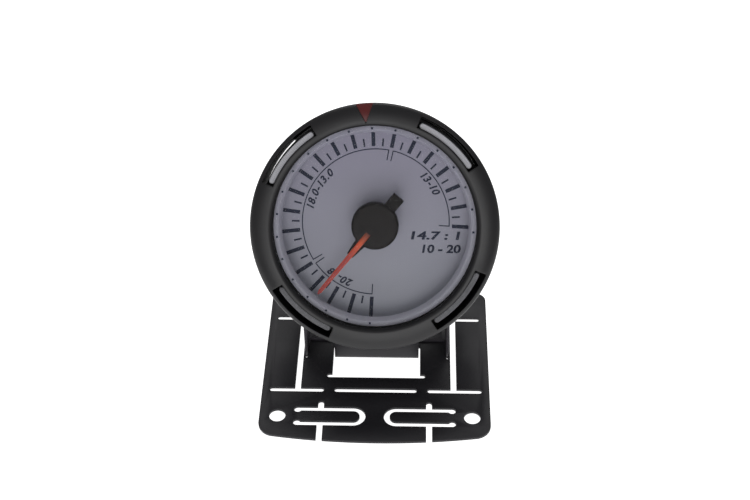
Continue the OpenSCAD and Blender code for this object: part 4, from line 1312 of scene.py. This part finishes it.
@dataclass
class Studio:
    """The pale floor, the soft light and the camera."""

    focal_px: float = 1400.0
    place_mm: tuple[float, float, float] = (10.27, -255.32, 289.90)
    down_deg: float = 41.753
    yaw_deg: float = -2.134
    roll_deg: float = -0.817
    floor_glow: float = 1.0
    sky: float = 0.38
    floor_half: float = 4.0
    floor_z: float = -0.02 * MM
    aim: tuple[float, float, float] = (0.0, 0.02, 0.04)
    softboxes: tuple = (
        ("back_softbox", (0.0, 0.6, 0.9), 0.9, 4.4),
        ("front_softbox", (0.0, -0.8, 0.32), 0.5, 1.9),
    )

    def camera(self) -> None:
        """Adds the camera at the photograph's viewing angle."""
        down, yaw, roll = (math.radians(a) for a in (self.down_deg, self.yaw_deg, self.roll_deg))
        ahead = Vector((math.sin(yaw) * math.cos(down), math.cos(yaw) * math.cos(down), -math.sin(down)))
        level = Vector((math.cos(yaw), -math.sin(yaw), 0.0))
        upright = level.cross(ahead)
        right = math.cos(roll) * level + math.sin(roll) * upright
        up = math.cos(roll) * upright - math.sin(roll) * level
        turn = Matrix((right, up, -ahead)).transposed().to_4x4()
        data = bpy.data.cameras.new("photo_camera")
        data.sensor_width = SENSOR_WIDTH
        data.lens = self.focal_px * SENSOR_WIDTH / IMAGE_WIDTH
        data.clip_start = 0.01
        camera = link_new("photo_camera", data)
        camera.matrix_world = Matrix.Translation(Vector(self.place_mm) * MM) @ turn
        bpy.context.scene.camera = camera

    def floor(self) -> None:
        """Adds the plain floor, bright enough to look white."""
        half, z = self.floor_half, self.floor_z
        mesh = bpy.data.meshes.new("floor")
        corners = [(-half, -half, z), (half, -half, z), (half, half, z), (-half, half, z)]
        mesh.from_pydata(corners, [], [(0, 1, 2, 3)])
        mesh.materials.append(new_material("pale_floor", {
            "Base Color": (0.8, 0.8, 0.8, 1.0),
            "Roughness": 1.0,
            "Specular IOR Level": 0.0,
            "Emission Color": WHITE,
            "Emission Strength": self.floor_glow,
        }))
        floor = link_new("floor", mesh)

    def lights(self) -> None:
        """Adds an even sky, a large soft light above and behind the gauge, and one in front of it."""
        world = bpy.data.worlds.new("studio")
        world.use_nodes = True
        background = world.node_tree.nodes["Background"]
        background.inputs["Color"].default_value = WHITE
        background.inputs["Strength"].default_value = self.sky
        bpy.context.scene.world = world
        for name, place, size, power in self.softboxes:
            data = bpy.data.lights.new(name, "AREA")
            data.shape = "SQUARE"
            data.size = size
            data.energy = power
            light = link_new(name, data)
            turn = (Vector(self.aim) - Vector(place)).to_track_quat("-Z", "Y").to_matrix().to_4x4()
            light.matrix_world = Matrix.Translation(place) @ turn

    def build(self) -> None:
        """Builds the whole studio."""
        self.camera()
        self.floor()
        self.lights()
        bpy.context.scene.view_settings.view_transform = "Standard"


def main() -> None:
    """Builds the studio and dresses every sub-assembly."""
    logging.basicConfig(level=logging.INFO, format="%(name)s: %(message)s")
    gauge = GaugeFrame.from_joints(frame["joints"])
    shop = Workshop()
    Studio().build()
    Bracket().build(shop)
    GaugeBody(gauge).build(shop)
    StudPair(gauge).build(shop)
    Bezel(gauge).build(shop)
    DialPrint(gauge).build(shop)
    Pointer(gauge).build(shop)


if __name__ == "__main__":
    main()
